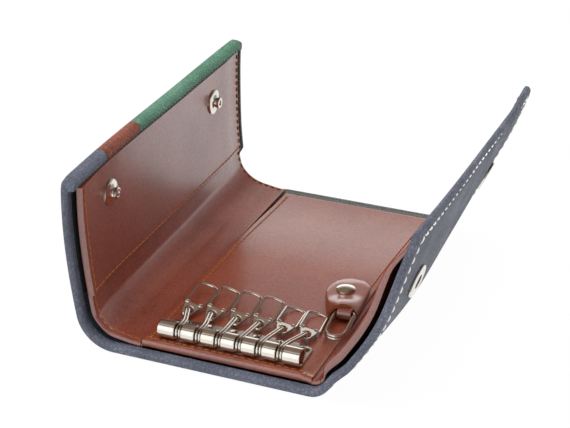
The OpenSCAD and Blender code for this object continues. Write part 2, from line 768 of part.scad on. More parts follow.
back_near_patch();
back_middle_patch();
back_far_patch();
left_side_near_patch();
left_side_middle_patch();
left_side_far_patch();
left_flap_near_patch();
left_flap_middle_patch();
left_flap_far_patch();
right_side_leather();
right_flap_leather();
back_board();
left_flap_board();
right_flap_board();
back_lining();
left_side_lining();
right_side_lining();
left_flap_lining();
right_flap_lining();
left_flap_pocket();
back_pocket();
back_under_pocket();
key_bar();
bar_rod();
bar_rivets();
hook_link_1();
hook_link_2();
hook_link_3();
hook_link_4();
hook_link_5();
hook_link_6();
hook_plate_1();
hook_plate_2();
hook_plate_3();
hook_plate_4();
hook_plate_5();
hook_plate_6();
hook_loop_1();
hook_loop_2();
hook_loop_3();
hook_loop_4();
hook_loop_5();
hook_loop_6();
tab_strap();
tab_rivet();
tab_ring();
snap_studs();
stud_backs();
snap_sockets();
socket_caps();
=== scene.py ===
import math

import bmesh
import bpy
import numpy as np
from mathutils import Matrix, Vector


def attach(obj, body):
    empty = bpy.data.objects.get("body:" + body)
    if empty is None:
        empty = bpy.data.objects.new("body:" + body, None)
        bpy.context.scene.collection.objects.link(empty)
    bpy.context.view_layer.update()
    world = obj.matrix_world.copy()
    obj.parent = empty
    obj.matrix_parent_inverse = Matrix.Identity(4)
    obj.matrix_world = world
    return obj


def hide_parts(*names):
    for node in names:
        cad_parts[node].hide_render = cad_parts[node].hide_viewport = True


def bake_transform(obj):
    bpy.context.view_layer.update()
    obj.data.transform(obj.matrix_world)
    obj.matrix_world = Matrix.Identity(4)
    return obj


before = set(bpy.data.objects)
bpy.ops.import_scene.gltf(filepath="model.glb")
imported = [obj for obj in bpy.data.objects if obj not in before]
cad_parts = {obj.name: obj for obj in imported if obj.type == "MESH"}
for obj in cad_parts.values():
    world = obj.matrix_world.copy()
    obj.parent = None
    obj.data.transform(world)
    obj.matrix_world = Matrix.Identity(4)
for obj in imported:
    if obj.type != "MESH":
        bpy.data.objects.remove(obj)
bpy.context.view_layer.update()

# Outer leather of the left flap, the left bend and the back.
# Three patches of soft vegetable-tanned leather, blue-grey, brown and green, are sewn edge to edge and
# run round the case together. Each end is turned in as a hem, and the top is turned over as a broad band.

MM = 0.001
FLAT_HALF = 31.5
# Each side of the case: its way along X, bend radius, bend angle and radius of its bow. Sizes are in mm, and
# arc lengths run from the end of the flat back, round the bend and up the flap.
LEFT = (-1, 12.0, math.radians(81), 200.0)
RIGHT = (1, 10.0, math.radians(58), 240.0)
LEFT_BEND = LEFT[1] * LEFT[2]
LEFT_TOP = LEFT_BEND + 46.5
RIGHT_TOP = RIGHT[1] * RIGHT[2] + 56.0
END_Y = 60.0
LEATHER = 1.5
HEM = 2.4
HEM_WIDTH = 3.5
BAND = 4.7
BAND_WIDTH = 3.9
RIM_ROUND = 1.1
TOP_ROUND, TOP_FALL = 4.0, 0.4
SEAM_ROUND, SEAM_FALL = 0.5, 0.75
BLUE_TO_BROWN = -38.0
BROWN_TO_GREEN = -16.0
# How the left flap strays from a plain bow: twist, belly and rise of its far end, and spread of its far fold
TWIST, BELLY, RISE, SPREAD = -0.42, 0.87, 0.68, 0.57
# How the right flap strays from one: a swell over the bend, a belly at its far end beside a hollow, a dent at
# its near end, a far top that leans in, and a near corner that stands up; and a fine ripple on both flaps
SWELL, FAR_BELLY, HOLLOW, DENT, LEAN_IN, CORNER_RISE = 1.2, 1.4, 0.5, 2.0, 1.2, 3.4
RIPPLE = 0.22
# The far hem stands up as a lip behind the lining, on the back and on the left flap
LIP_WIDTH = 1.9
FLAP_LIP, BACK_LIP = 4.4, 2.7
# Where the leather gives at each fold: the two bodies, the side, and the arc lengths between which it bends
FOLDS = {
    "left_low": ("back", "left_side", LEFT, -13.0, -2.0),
    "left_up": ("left_side", "left_flap", LEFT, 8.0, 20.5),
    "right_low": ("back", "right_side", RIGHT, -0.5, 9.5),
    "right_up": ("right_side", "right_flap", RIGHT, 11.0, 23.0),
}
# Where the outer leather is divided: between bend and flap, and between the back and the right bend
LEFT_SPLIT, RIGHT_SPLIT, BACK_SPLIT = 3.2, 10.3, 4.5


def ease(value, start, width):
    """Smooth rise from 0 at start to 1 at start + width: a cubic with level ends."""
    share = np.clip((value - start) / width, 0, 1)
    return share * share * (3 - 2 * share)


def hump(value, start, width):
    """A smooth hill of height 1 between start and start + width: half a sine wave, squared."""
    return np.sin(np.pi * np.clip((value - start) / width, 0, 1)) ** 2


def edge_drop(gap, radius):
    """How far a rounded edge has fallen away at a distance gap inside it: the fall of a quarter circle."""
    short = np.clip(radius - gap, 0, radius)
    return radius - np.sqrt(radius * radius - short * short)


def case_point(side, s, y, depth):
    """Point in metres at arc length s from the end of the flat back, y along the folds and depth inwards:
    a flat, then a circular bend, then a wide bow, with the flaps waved by humps and smooth rises."""
    way, bend_r, bend_angle, bow_r = side
    bend = np.clip(s, 0, bend_r * bend_angle) / bend_r
    turn = bend + np.maximum(s - bend_r * bend_angle, 0) / bow_r
    x = FLAT_HALF + np.minimum(s, 0) + bend_r * np.sin(bend) + bow_r * (np.sin(turn) - np.sin(bend))
    z = bend_r * (1 - np.cos(bend)) + bow_r * (np.cos(bend) - np.cos(turn))
    depth = depth + RIPPLE * ease(s, 6.0, 50.0) * np.sin(y / 15.0 + 0.8) * np.sin(s / 8.0)
    if way > 0:
        near = np.exp(-((y + 25) / 28.0) ** 2)
        depth = depth + SWELL * hump(s, 1.0, 18.0) - DENT * near * hump(s, 6.0, 46.0)
        depth = depth + (FAR_BELLY * ease(y, 5.0, 55.0) - HOLLOW) * hump(s, 14.0, 44.0)
        depth = depth + LEAN_IN * ease(y, 35.0, 25.0) * ease(s, 40.0, 20.0)
    x = x - depth * np.sin(turn)
    z = z + depth * np.cos(turn)
    if way > 0:
        z = z + CORNER_RISE * ease(-y, -20.0, 90.0) * ease(s, 36.0, 28.0)
    else:
        share, high = y / END_Y, ease(s, 20.0, 42.0)
        low = ease(s, 8.0, 14.0) * (1 - high)
        x = x + high * (TWIST * share + BELLY * (1 - share ** 2)) + low * SPREAD * (1 + share) / 2
        z = z + high * RISE * share
    return np.stack(np.broadcast_arrays(way * x, y, z), -1) * MM


def case_facing(side, s):
    """Unit vector that points inwards, square to the case, at arc length s."""
    way, bend_r, bend_angle, bow_r = side
    turn = np.clip(s, 0, bend_r * bend_angle) / bend_r + np.maximum(s - bend_r * bend_angle, 0) / bow_r
    return np.stack([-way * np.sin(turn), np.zeros_like(turn), np.cos(turn)], -1)


def stations(low, high, step, crowd=1.3):
    """Values from low to high about a step apart, with more of them close to both ends."""
    close = crowd * np.array([0, 0.03, 0.1, 0.22, 0.4, 0.65])
    count = max(2, int(round((high - low - 2 * crowd) / step)) + 1)
    return np.concatenate([low + close, np.linspace(low + crowd, high - crowd, count), high - close[::-1]])


def sheet_shell(outer, inner):
    """Points and faces of the skin between two grids of one shape, walled round the edge; walls come last."""
    rows, columns = outer.shape[:2]
    points = np.concatenate([outer.reshape(-1, 3), inner.reshape(-1, 3)])
    index = np.arange(rows * columns).reshape(rows, columns)
    quads = np.stack([index[:-1, :-1], index[1:, :-1], index[1:, 1:], index[:-1, 1:]], -1).reshape(-1, 4)
    rim = np.concatenate([index[0, :], index[1:, -1], index[-1, -2::-1], index[-2:0:-1, 0]])
    after = np.roll(rim, -1)
    walls = np.stack([rim, after, after + rows * columns, rim + rows * columns], -1)
    return points, quads.tolist() + (quads[:, ::-1] + rows * columns).tolist() + walls.tolist()


def joined(*shells):
    """Several lots of points and faces as one."""
    points = np.concatenate([shell[0] for shell in shells])
    starts = np.cumsum([0] + [len(shell[0]) for shell in shells])
    return points, [[i + start for i in face] for start, shell in zip(starts, shells) for face in shell[1]]


def put_piece(name, shell, finish, slot, sharp=38, cut_finish=None, cut_faces=0):
    """A mesh object at the origin, with faces turned outwards and edges over the angle sharp kept crisp."""
    points, faces = shell
    mesh = bpy.data.meshes.new(name)
    mesh.from_pydata(points.tolist(), [], faces)
    mesh.materials.append(finish)
    if cut_finish:
        mesh.materials.append(cut_finish)
        marks = np.zeros(len(faces), int)
        marks[len(faces) - cut_faces:] = 1
        mesh.polygons.foreach_set("material_index", marks)
    solid = bmesh.new()
    solid.from_mesh(mesh)
    bmesh.ops.recalc_face_normals(solid, faces=solid.faces)
    solid.to_mesh(mesh)
    solid.free()
    mesh.shade_smooth()
    mesh.set_sharp_from_angle(angle=math.radians(sharp))
    piece = bpy.data.objects.new(name, mesh)
    bpy.context.scene.collection.objects.link(piece)
    return piece


def rigid_piece(name, shell, finish, slot, body, *nodes, **options):
    """A piece that rides on one body and stands in for the named nodes."""
    piece = put_piece(name, shell, finish, slot, **options)
    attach(piece, body)
    if nodes:
        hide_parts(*nodes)


def folding_piece(name, shell, finish, slot, fold, *nodes):
    """A piece fixed where it lies, which stands in for the named nodes; it does not give at its fold."""
    piece = put_piece(name, shell, finish, slot)
    low, high, side, from_s, to_s = FOLDS[fold]
    start, end = case_point(side, from_s, 0.0, 2.0), case_point(side, to_s, 0.0, 2.0)
    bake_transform(piece)
    if nodes:
        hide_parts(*nodes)


def fill(tree, node, values):
    """A node's inputs: a value that is a socket is linked, and any other is set."""
    for key, value in values.items():
        if isinstance(value, bpy.types.NodeSocket):
            tree.links.new(value, node.inputs[key])
        else:
            node.inputs[key].default_value = value


def add_node(tree, kind, values=None, **settings):
    """One new node of a tree, with its settings and its inputs."""
    made = tree.nodes.new(kind)
    for key, value in settings.items():
        setattr(made, key, value)
    fill(tree, made, values or {})
    return made


def figure(tree, operation, *values):
    """The result of one operation on numbers or sockets."""
    return add_node(tree, "ShaderNodeMath", dict(enumerate(values)), operation=operation).outputs[0]


def blended(tree, factor, low, high):
    """The colour between two colours or sockets."""
    return add_node(tree, "ShaderNodeMix", {"Factor": factor, 6: low, 7: high}, data_type="RGBA").outputs[2]


def ranged(tree, value, low, high, bottom=0.0, top=1.0, **settings):
    """A value's place between low and high, stretched to run from bottom to top."""
    spans = {"Value": value, "From Min": low, "From Max": high, "To Min": bottom, "To Max": top}
    return add_node(tree, "ShaderNodeMapRange", spans, **settings).outputs[0]


def noise(tree, where, scale, detail, rough=0.5):
    """Cloudy noise: the node, with a value and a colour."""
    values = {"Vector": where, "Scale": scale, "Detail": detail, "Roughness": rough}
    return add_node(tree, "ShaderNodeTexNoise", values)


def new_finish(name):
    """A new material, its node tree, its main shader and its object coordinates."""
    material = bpy.data.materials.new(name)
    material.use_nodes = True
    tree = material.node_tree
    where = add_node(tree, "ShaderNodeTexCoord").outputs["Object"]
    return material, tree, tree.nodes["Principled BSDF"], where


def new_group(name, inputs, outputs):
    """An empty node group with named number inputs, a Where vector input, and named outputs."""
    group = bpy.data.node_groups.new(name, "ShaderNodeTree")
    group.interface.new_socket("Where", in_out="INPUT", socket_type="NodeSocketVector")
    for key in inputs:
        group.interface.new_socket(key, in_out="INPUT", socket_type="NodeSocketFloat")
    for key in outputs:
        group.interface.new_socket(key, in_out="OUTPUT", socket_type="NodeSocketFloat")
    return group, group.nodes.new("NodeGroupInput"), group.nodes.new("NodeGroupOutput")


WARP = 0.0012
PORES = 2600.0


def pebble_group():
    """Leather grain: pebbles between fine creases, broken up by a warp, and pores; height and crease mask."""
    group, given, result = new_group("leather_pebble", ["Size", "Softness"], ["Height", "Crease"])
    where = given.outputs["Where"]
    swirl = noise(group, where, 160.0, 3.0).outputs["Color"]
    place = add_node(group, "ShaderNodeVectorMath", {0: swirl, 1: (WARP,) * 3, 2: where},
                     operation="MULTIPLY_ADD").outputs[0]
    scale = figure(group, "DIVIDE", 1.0, given.outputs["Size"])
    cells = add_node(group, "ShaderNodeTexVoronoi", {"Vector": place, "Scale": scale},
                     feature="DISTANCE_TO_EDGE")
    crease = ranged(group, cells.outputs["Distance"], 0.0, given.outputs["Softness"],
                    interpolation_type="SMOOTHSTEP")
    pores = figure(group, "MULTIPLY", noise(group, place, PORES, 2.0).outputs[0], 0.35)
    fill(group, result, {"Height": figure(group, "ADD", crease, pores),
                         "Crease": figure(group, "SUBTRACT", 1.0, crease)})
    return group


def mottle_group():
    """Uneven dye: two sizes of cloud added together and steepened to a mask from 0 to 1."""
    group, given, result = new_group("dye_mottle", ["Broad", "Fine"], ["Mask"])
    where = given.outputs["Where"]
    broad = noise(group, where, given.outputs["Broad"], 3.0, 0.6).outputs[0]
    fine = noise(group, where, given.outputs["Fine"], 4.0, 0.7).outputs[0]
    mask = ranged(group, figure(group, "ADD", broad, fine), 0.75, 1.25, interpolation_type="SMOOTHSTEP")
    fill(group, result, {"Mask": mask})
    return group


PEBBLE = pebble_group()
MOTTLE = mottle_group()


def tint(code):
    """A written colour as linear red, green, blue and alpha."""
    parts = np.array([int(code[i:i + 2], 16) for i in (1, 3, 5)]) / 255
    return tuple(np.where(parts <= 0.04045, parts / 12.92, ((parts + 0.055) / 1.055) ** 2.4)) + (1.0,)


FINE_CLOUDS = 900.0


def leather_finish(name, light, dark, crease, rough, grain, softness, depth, coat=0.0, coat_rough=0.3,
                   broad=55.0, coat_ior=1.5, edge=None):
    """Dyed leather: mottled colour, darker in its creases, with a bumped grain and uneven gloss."""
    material, tree, skin, where = new_finish(name)
    grained = add_node(tree, "ShaderNodeGroup", {"Where": where, "Size": grain, "Softness": softness},
                       node_tree=PEBBLE)
    clouds = add_node(tree, "ShaderNodeGroup", {"Where": where, "Broad": broad, "Fine": FINE_CLOUDS},
                      node_tree=MOTTLE).outputs["Mask"]
    creased = figure(tree, "MULTIPLY", grained.outputs["Crease"], 0.55)
    colour = blended(tree, creased, blended(tree, clouds, tint(light), tint(dark)), tint(crease))
    if edge:
        # The far edge is painted grey as painted sheen, over a wider strip inside the back than up the flap
        place = add_node(tree, "ShaderNodeSeparateXYZ", {0: where}).outputs
        strip = ranged(tree, place["Z"], 5 * MM, 7 * MM, (END_Y - 4.2) * MM, (END_Y - 2.4) * MM)
        painted_sheen_mask = ranged(tree, figure(tree, "SUBTRACT", place["Y"], strip), 0.0, 0.5 * MM)
        colour = blended(tree, painted_sheen_mask, colour, tint(edge))
    bump = add_node(tree, "ShaderNodeBump", {"Height": grained.outputs["Height"], "Distance": depth,
                    "Strength": 1.0})
    gloss = ranged(tree, clouds, 0.0, 1.0, rough - 0.05, rough + 0.07)
    fill(tree, skin, {"Base Color": colour, "Roughness": gloss, "Normal": bump.outputs[0],
                      "Coat Weight": coat, "Coat Roughness": coat_rough, "Coat IOR": coat_ior})
    return material


BLUE_LEATHER = leather_finish("blue_grey_leather", "#676b7a", "#4a4e5c", "#383b47", 0.62, 0.0011, 0.25,
                              0.00012)
MIDDLE_LEATHER = leather_finish("brown_outer_leather", "#86422c", "#6a2f20", "#4a2018", 0.5, 0.0012, 0.25,
                                0.0001)
# The green leather's far edge is painted grey: a painted sheen along its rim
GREEN_LEATHER = leather_finish("green_leather", "#5b8a70", "#44705a", "#2f5241", 0.6, 0.0011, 0.3, 0.00016,
                               edge="#595a57")
PATCHES = {
    "near": (-END_Y, BLUE_TO_BROWN, BLUE_LEATHER, "blue_leather"),
    "middle": (BLUE_TO_BROWN, BROWN_TO_GREEN, MIDDLE_LEATHER, "brown_leather"),
    "far": (BROWN_TO_GREEN, END_Y, GREEN_LEATHER, "green_leather"),
}


def rounded_corner(s, y, s_end, y_end, radius):
    """Moves a grid's corner onto a quarter circle: the square of side radius at the corner becomes a disc."""
    way_s, way_y = np.sign(s.mean() - s_end), np.sign(y.mean() - y_end)
    near_s = np.clip(1 - (s - s_end) * way_s / radius, 0, 1)
    near_y = np.clip(1 - (y - y_end) * way_y / radius, 0, 1)
    inside = (near_s > 0) & (near_y > 0)
    new_s = s_end + way_s * radius * (1 - near_s * np.sqrt(1 - near_y ** 2 / 2))
    new_y = y_end + way_y * radius * (1 - near_y * np.sqrt(1 - near_s ** 2 / 2))
    return np.where(inside, new_s, s), np.where(inside, new_y, y)


def outer_shell(side, s0, s1, y0, y1, band=0.0, band_width=0.0, corners=(2.0, 2.0)):
    """Outer leather over a stretch of the case: its outer face is at depth 0 and its inner face at its
    thickness, which grows along a hem at either end and in the band at a free top; all edges are rounded."""
    along = stations(y0, y1, 1.6)
    if y1 == END_Y:
        along = np.union1d(along, END_Y - np.linspace(LIP_WIDTH - 0.5, LIP_WIDTH + 0.1, 5))
    s, y = np.meshgrid(stations(s0, s1, 0.6), along, indexing="ij")
    to_end = np.minimum(END_Y - y, END_Y + y)
    to_top = s1 - s if band else np.full_like(s, np.inf)
    fall = np.maximum(edge_drop(to_end, RIM_ROUND), edge_drop(to_top, max(RIM_ROUND, band / 2 - 0.4)))
    outer = np.maximum(fall, TOP_FALL * edge_drop(to_top, TOP_ROUND)) if side is RIGHT else fall
    inner = LEATHER + (HEM - LEATHER) * (1 - ease(to_end, HEM_WIDTH - 0.4, 0.4))
    # The lip stands along the back and up the left flap, and is pressed flat in the bends
    stands = 1 - ease(s, -9.0, 4.0) + ease(s, 19.5, 3.5) if side is LEFT else 1 - ease(s, 1.0, 5.0)
    lip = np.where(s < 8.0, BACK_LIP, FLAP_LIP)
    inner = inner + (lip - HEM) * stands * (1 - ease(END_Y - y, LIP_WIDTH - 0.4, 0.4))
    if band:
        inner = inner + (band - inner) * (1 - ease(to_top, band_width - 0.8, 0.8))
    inner = inner - fall
    for seam_y in (y0, y1):
        if abs(seam_y) < END_Y:
            groove = SEAM_FALL * edge_drop(np.abs(y - seam_y), SEAM_ROUND)
            outer, inner = outer + groove, inner - groove
    if band:
        for end, corner in zip((y0, y1), corners):
            if abs(end) == END_Y:
                s, y = rounded_corner(s, y, s1, end, corner)
    return sheet_shell(case_point(side, s, y, outer), case_point(side, s, y, inner))


for patch, (y0, y1, finish, slot) in PATCHES.items():
    flap = outer_shell(LEFT, LEFT_SPLIT, LEFT_TOP, y0, y1, BAND, BAND_WIDTH, corners=(4.5, 2.0))
    folding_piece(f"left_flap_{patch}_leather", flap, finish, slot, "left_up", f"left_flap_{patch}_patch")
    bend = outer_shell(LEFT, -FLAT_HALF, LEFT_SPLIT, y0, y1)
    folding_piece(f"left_bend_{patch}_leather", bend, finish, slot, "left_low", f"left_side_{patch}_patch")
    back = outer_shell(RIGHT, -FLAT_HALF, BACK_SPLIT, y0, y1)
    folding_piece(f"back_{patch}_leather", back, finish, slot, "right_low", f"back_{patch}_patch")

# Outer leather of the right bend and the right flap.
# One piece of the blue-grey leather, turned in along both ends and along the top edge of the flap.

RIGHT_BAND = 2.6

folding_piece("right_bend_leather", outer_shell(RIGHT, BACK_SPLIT, RIGHT_SPLIT, -END_Y, END_Y), BLUE_LEATHER,
              "blue_leather", "right_low", "right_side_leather")
folding_piece("right_flap_outer_leather",
              outer_shell(RIGHT, RIGHT_SPLIT, RIGHT_TOP, -END_Y, END_Y, RIGHT_BAND, HEM_WIDTH), BLUE_LEATHER,
              "blue_leather", "right_up", "right_flap_leather")

# Stiffening boards inside the back and the two flaps.
# Thin black fibre board, glued between the outer leather and the lining and held by the hems round it.

BOARD_FINISH = leather_finish("fibre_board", "#231f1d", "#1a1716", "#100e0d", 0.85, 0.0004, 0.4, 0.00004)
BOARD = 0.8
GLUE = 0.06
BOARD_NEAR, BOARD_FAR = -END_Y + HEM_WIDTH + 0.5, END_Y - 12.0


def board_shell(side, s0, s1):
    """A thin board that follows the case, just inside the outer leather and clear of its hems."""
    s, y = np.meshgrid(stations(s0, s1, 2.0, 0.5), stations(BOARD_NEAR, BOARD_FAR, 2.5, 0.5), indexing="ij")
    return sheet_shell(case_point(side, s, y, LEATHER + GLUE), case_point(side, s, y, LEATHER + GLUE + BOARD))


for name, side, s0, s1, body in (
        ("back_board", RIGHT, -55.5, -0.5, "back"),
        ("left_flap_board", LEFT, 23.0, LEFT_TOP - BAND_WIDTH - 0.5, "left_flap"),
        ("right_flap_board", RIGHT, 24.0, RIGHT_TOP - HEM_WIDTH - 0.5, "right_flap")):
    rigid_piece(name + "_sheet", board_shell(side, s0, s1), BOARD_FINISH, "board", body, name)

# Lining of the back and of both flaps.
# Glossy cognac cowhide, sewn in along both ends. It bulges inwards at the bends and stands off the outer
# leather along its ends, which leaves a dark gap all the way up.

LINING = 0.9
NEAR_END = -56.6
FAR_END = 57.6
PANEL_END = 56.0
LINING_LOW = 2.45
LINING_ROUND = 0.4
LINING_LIP = 0.95
POCKET = 0.8
UNDER = 0.6
TUCK = 0.25
LIP_SWELL, HIGH_LIP_SWELL = 0.28, 1.38
# The bulge at each bend: its height, where it starts and crests, and how far it falls over what length
BULGES = {LEFT: (1.2, -8.0, 3.2, 0.8, 15.0), RIGHT: (0.8, 4.5, 10.75, 1.5, 30.0)}
# How far the lining sinks at its far end and lifts at its near end, and how far it dips at the right fold
LEFT_SINK, RIGHT_SINK, LEFT_LIFT, RIGHT_LIFT, FOLD_DIP = 0.5, 0.9, 0.95, 2.7, 0.85
# The shares by which the back's layers thin at the far end, and its pockets at the near right corner
THINNED, PRESSED = 0.5, 0.94
LEAST = 0.04

LINING_LEATHER = leather_finish("cognac_lining_leather", "#80331a", "#6b2813", "#40160d", 0.4, 0.0009, 0.16,
                                0.00003, coat=1.0, coat_rough=0.24, broad=40.0, coat_ior=1.9)


def far_share(s, y):
    """From 0 at the near half of the back to 1 at its far end, and 0 again up the right flap."""
    return ease(y, 4.0, 52.0) * (1 - ease(s, 6.0, 8.0))


def thinning(side, s, y):
    """The share of a layer's thickness that is left where the back is pressed flat at its far end."""
    return 1 - THINNED * far_share(s, y) if side is RIGHT else 1


def lining_depth(side, s, y):
    """Depth of the lining's under side: a bulge at the bend, less a sink, plus a lift that dies away from the
    near end as a bell curve."""
    swell, start, crest, drop, length = BULGES[side]
    bulge = swell * hump(np.minimum(s, crest), start, 2 * (crest - start)) - drop * ease(s, crest, length)
    if side is LEFT:
        sink = LEFT_SINK * ease(s, 10.0, 12.0) * ease(y, 46.0, 9.0)
        lift = LEFT_LIFT * ease(s, 2.0, 10.0)
    else:
        sink = RIGHT_SINK * far_share(s, y) + FOLD_DIP * ease(y, -45.0, 15.0) * hump(s, 0.2, 7.0)
        lift = RIGHT_LIFT * ease(s, 2.0, 46.0) * (1 - ease(s, 50.0, 12.0))
    return LINING_LOW + bulge - sink + lift * np.exp(-(np.maximum(y - NEAR_END, 0) / 9.0) ** 2)


def lining_shell(side, s0, s1, gap, thickness, round_s=(False, False), pressed=False, far=FAR_END):
    """A layer that lies a gap above the lining's under side. Its near edge is a rolled lip that reaches down
    to that side; its far edge and the chosen long ones are rounded. It can be pressed flat at a corner."""
    along = np.union1d(stations(NEAR_END, far, 1.6), NEAR_END + np.array([0.6, 0.9, 1.2, 1.6, 2.0, 2.4, 3.0]))
    s, y = np.meshgrid(stations(s0, s1, 0.6), along, indexing="ij")
    low = lining_depth(side, s, y)
    to_near = y - NEAR_END
    left_over = thinning(side, s, y)
    flatness = 1 - PRESSED * ease(s, s1 - 4.5, 4.4) * (1 - ease(y, -33.0, 8.0)) if pressed else 1
    top = gap * left_over + thickness * left_over * flatness
    if thickness > UNDER:
        high = ease(s, 6.0, 10.0) * (1 - ease(s, 44.0, 14.0)) if side is RIGHT and s1 > 9 else 0
        swell = LIP_SWELL + (HIGH_LIP_SWELL - LIP_SWELL) * high
        top = top + swell * np.exp(-((to_near - 1.1) / 1.0) ** 2)
    under = gap * left_over * ease(to_near, 0.5, 0.5)
    to_edge = far - y
    if round_s[0]:
        to_edge = np.minimum(to_edge, s - s0)
    if round_s[1]:
        to_edge = np.minimum(to_edge, s1 - s)
    fall = np.maximum(edge_drop(to_near, LINING_LIP), edge_drop(to_edge, LINING_ROUND * thickness / LINING))
    top = np.maximum(top - fall, under + LEAST)
    return sheet_shell(case_point(side, s, y, low + under), case_point(side, s, y, low + top))


LEFT_LINED, RIGHT_LINED = LEFT_TOP - BAND_WIDTH + TUCK, RIGHT_TOP - HEM_WIDTH + TUCK
folding_piece("left_lining", lining_shell(LEFT, -7.85, LEFT_LINED, 0, LINING), LINING_LEATHER,
              "lining_leather", "left_up", "left_side_lining", "left_flap_lining")
folding_piece("right_lining", lining_shell(RIGHT, 4.65, RIGHT_LINED, 0, LINING), LINING_LEATHER,
              "lining_leather", "right_up", "right_side_lining", "right_flap_lining")
rigid_piece("back_lining_leather", lining_shell(RIGHT, -54.8, 4.35, 0, LINING, far=PANEL_END), LINING_LEATHER,
            "lining_leather", "back", "back_lining")

# Pockets: one on the left flap, and a panel with a second layer under it on the back.
# The same cognac leather, cut thinner. Their free edges are burnished, and they are sewn along the sides.

POCKET_EDGE = LEFT_BEND + 5.5
PANEL_WIDTH = 54.5
PANEL_LEATHER = leather_finish("cognac_panel_leather", "#80381e", "#6f2d18", "#4a1d12", 0.36, 0.0012, 0.12,
                               0.00002, coat=1.0, coat_rough=0.2, broad=30.0, coat_ior=1.9)
BACK_LAYER = dict(round_s=(True, True), pressed=True, far=PANEL_END)

rigid_piece("left_flap_pocket_leather",
            lining_shell(LEFT, POCKET_EDGE, LEFT_LINED, LINING + 0.02, POCKET, round_s=(True, False)),
            LINING_LEATHER, "lining_leather", "left_flap", "left_flap_pocket")
rigid_piece("back_under_leather", lining_shell(RIGHT, -PANEL_WIDTH, 1.9, LINING, UNDER, **BACK_LAYER),
            LINING_LEATHER, "lining_leather", "back", "back_under_pocket")
rigid_piece("back_pocket_leather",
            lining_shell(RIGHT, -PANEL_WIDTH, 0.0, LINING + UNDER, POCKET, **BACK_LAYER), PANEL_LEATHER,
            "lining_leather", "back", "back_pocket")

# Sewing: white saddle stitch on the right flap, orange-brown thread in the lining, and thread of the
# leather's own colour in the left flap's band. Waxed linen, pulled a little way into the leather.


def thread_finish(name, light, dark, rough=0.6):
    """Waxed thread: two close colours in clouds the size of its twist, with fine ridges."""
    material, tree, skin, where = new_finish(name)
    twist = noise(tree, where, 3500.0, 2.0).outputs[0]
    bump = add_node(tree, "ShaderNodeBump", {"Height": twist, "Distance": 0.00008})
    fill(tree, skin, {"Base Color": blended(tree, twist, tint(light), tint(dark)), "Roughness": rough,
                      "Normal": bump.outputs[0]})
    return material


WHITE_THREAD = thread_finish("white_thread", "#f4f2ee", "#d9d6d0")
ORANGE_THREAD = thread_finish("orange_brown_thread", "#b0662f", "#7d3f1c", 0.45)
DARK_THREAD = thread_finish("dark_band_thread", "#3b4a45", "#28332f")


def unit(vectors):
    """Vectors brought to length 1."""
    return vectors / np.linalg.norm(vectors, axis=-1, keepdims=True)


def hoops(spots, first_axis, other_axis, radius, sides):
    """Circles of points round spots: the spot, plus the radius times cosine and sine along two axes."""
    angle = np.arange(sides)[:, None] * 2 * np.pi / sides
    ring = first_axis[..., None, :] * np.cos(angle) + other_axis[..., None, :] * np.sin(angle)
    return (spots[..., None, :] + ring * radius).reshape(-1, 3)


def hoop_faces(rings, sides, closed=False):
    """Four-sided faces between neighbouring circles of points; closed joins the last circle to the first."""
    row, spoke = np.meshgrid(np.arange(rings if closed else rings - 1), np.arange(sides), indexing="ij")
    after, down = (spoke + 1) % sides, (row + 1) % rings * sides
    return np.stack([row * sides + spoke, row * sides + after, down + after, down + spoke], -1).reshape(-1, 4)


def at_runs(run, values, wanted):
    """Rows of values read off by distance along a path, with straight lines between them."""
    return np.stack([np.interp(wanted, run, values[:, k]) for k in range(3)], -1)


def stitch_shell(path, facing, pitch, length, radius, sink=0.3, settle=0.0):
    """Stitches along a path: at each pitch a short bent wire whose middle stands proud and whose ends dip in.
    Path and facing are arrays of points in metres and of unit vectors square to the leather."""
    run = np.concatenate([[0], np.cumsum(np.linalg.norm(np.diff(path, axis=0), axis=1))]) / MM
    count = max(1, int(run[-1] // pitch))
    centres = (np.arange(count) + 0.5) * run[-1] / count
    share = np.array([-1, -0.85, -0.5, 0, 0.5, 0.85, 1])
    wanted = centres[:, None] + share[None, :] * length / 2
    ahead = unit(at_runs(run, path, wanted + 0.05) - at_runs(run, path, wanted - 0.05))
    up = unit(at_runs(run, facing, wanted))
    rise = (1 - np.abs(share) ** 3)[None, :, None] * radius * (1 + sink) - radius * (sink + settle)
    spots = at_runs(run, path, wanted) + up * rise * MM
    sides, rings = 6, len(share)
    points = hoops(spots, up, np.cross(ahead, up), radius * MM, sides)
    starts = np.arange(count)[:, None, None] * rings * sides
    faces = (starts + hoop_faces(rings, sides)).reshape(-1, 4)
    ends = (starts + np.array([0, (rings - 1) * sides])[:, None] + np.arange(sides)).reshape(-1, sides)
    return points, faces.tolist() + ends.tolist()


def seam(side, s, y, depth, **stitch):
    """Stitches on the case along arc lengths s and lengths y at a depth; at depth 0 they stand outwards."""
    s, y = np.broadcast_arrays(np.asarray(s, float), np.asarray(y, float))
    facing = case_facing(side, s)
    return stitch_shell(case_point(side, s, y, depth), -facing if np.all(depth == 0) else facing, **stitch)


WHITE = dict(pitch=3.4, length=2.4, radius=0.25, sink=0.25, settle=0.5)
STITCH_IN, TOP_STITCH_IN, TURN_R = 3.0, 2.2, 2.0
low_run = np.linspace(5.5, RIGHT_SPLIT, 12)
low_seams = [seam(RIGHT, low_run, end * (END_Y - STITCH_IN), 0.0, **WHITE) for end in (-1, 1)]
folding_piece("right_bend_stitches", joined(*low_seams), WHITE_THREAD, "blue_leather", "right_low")
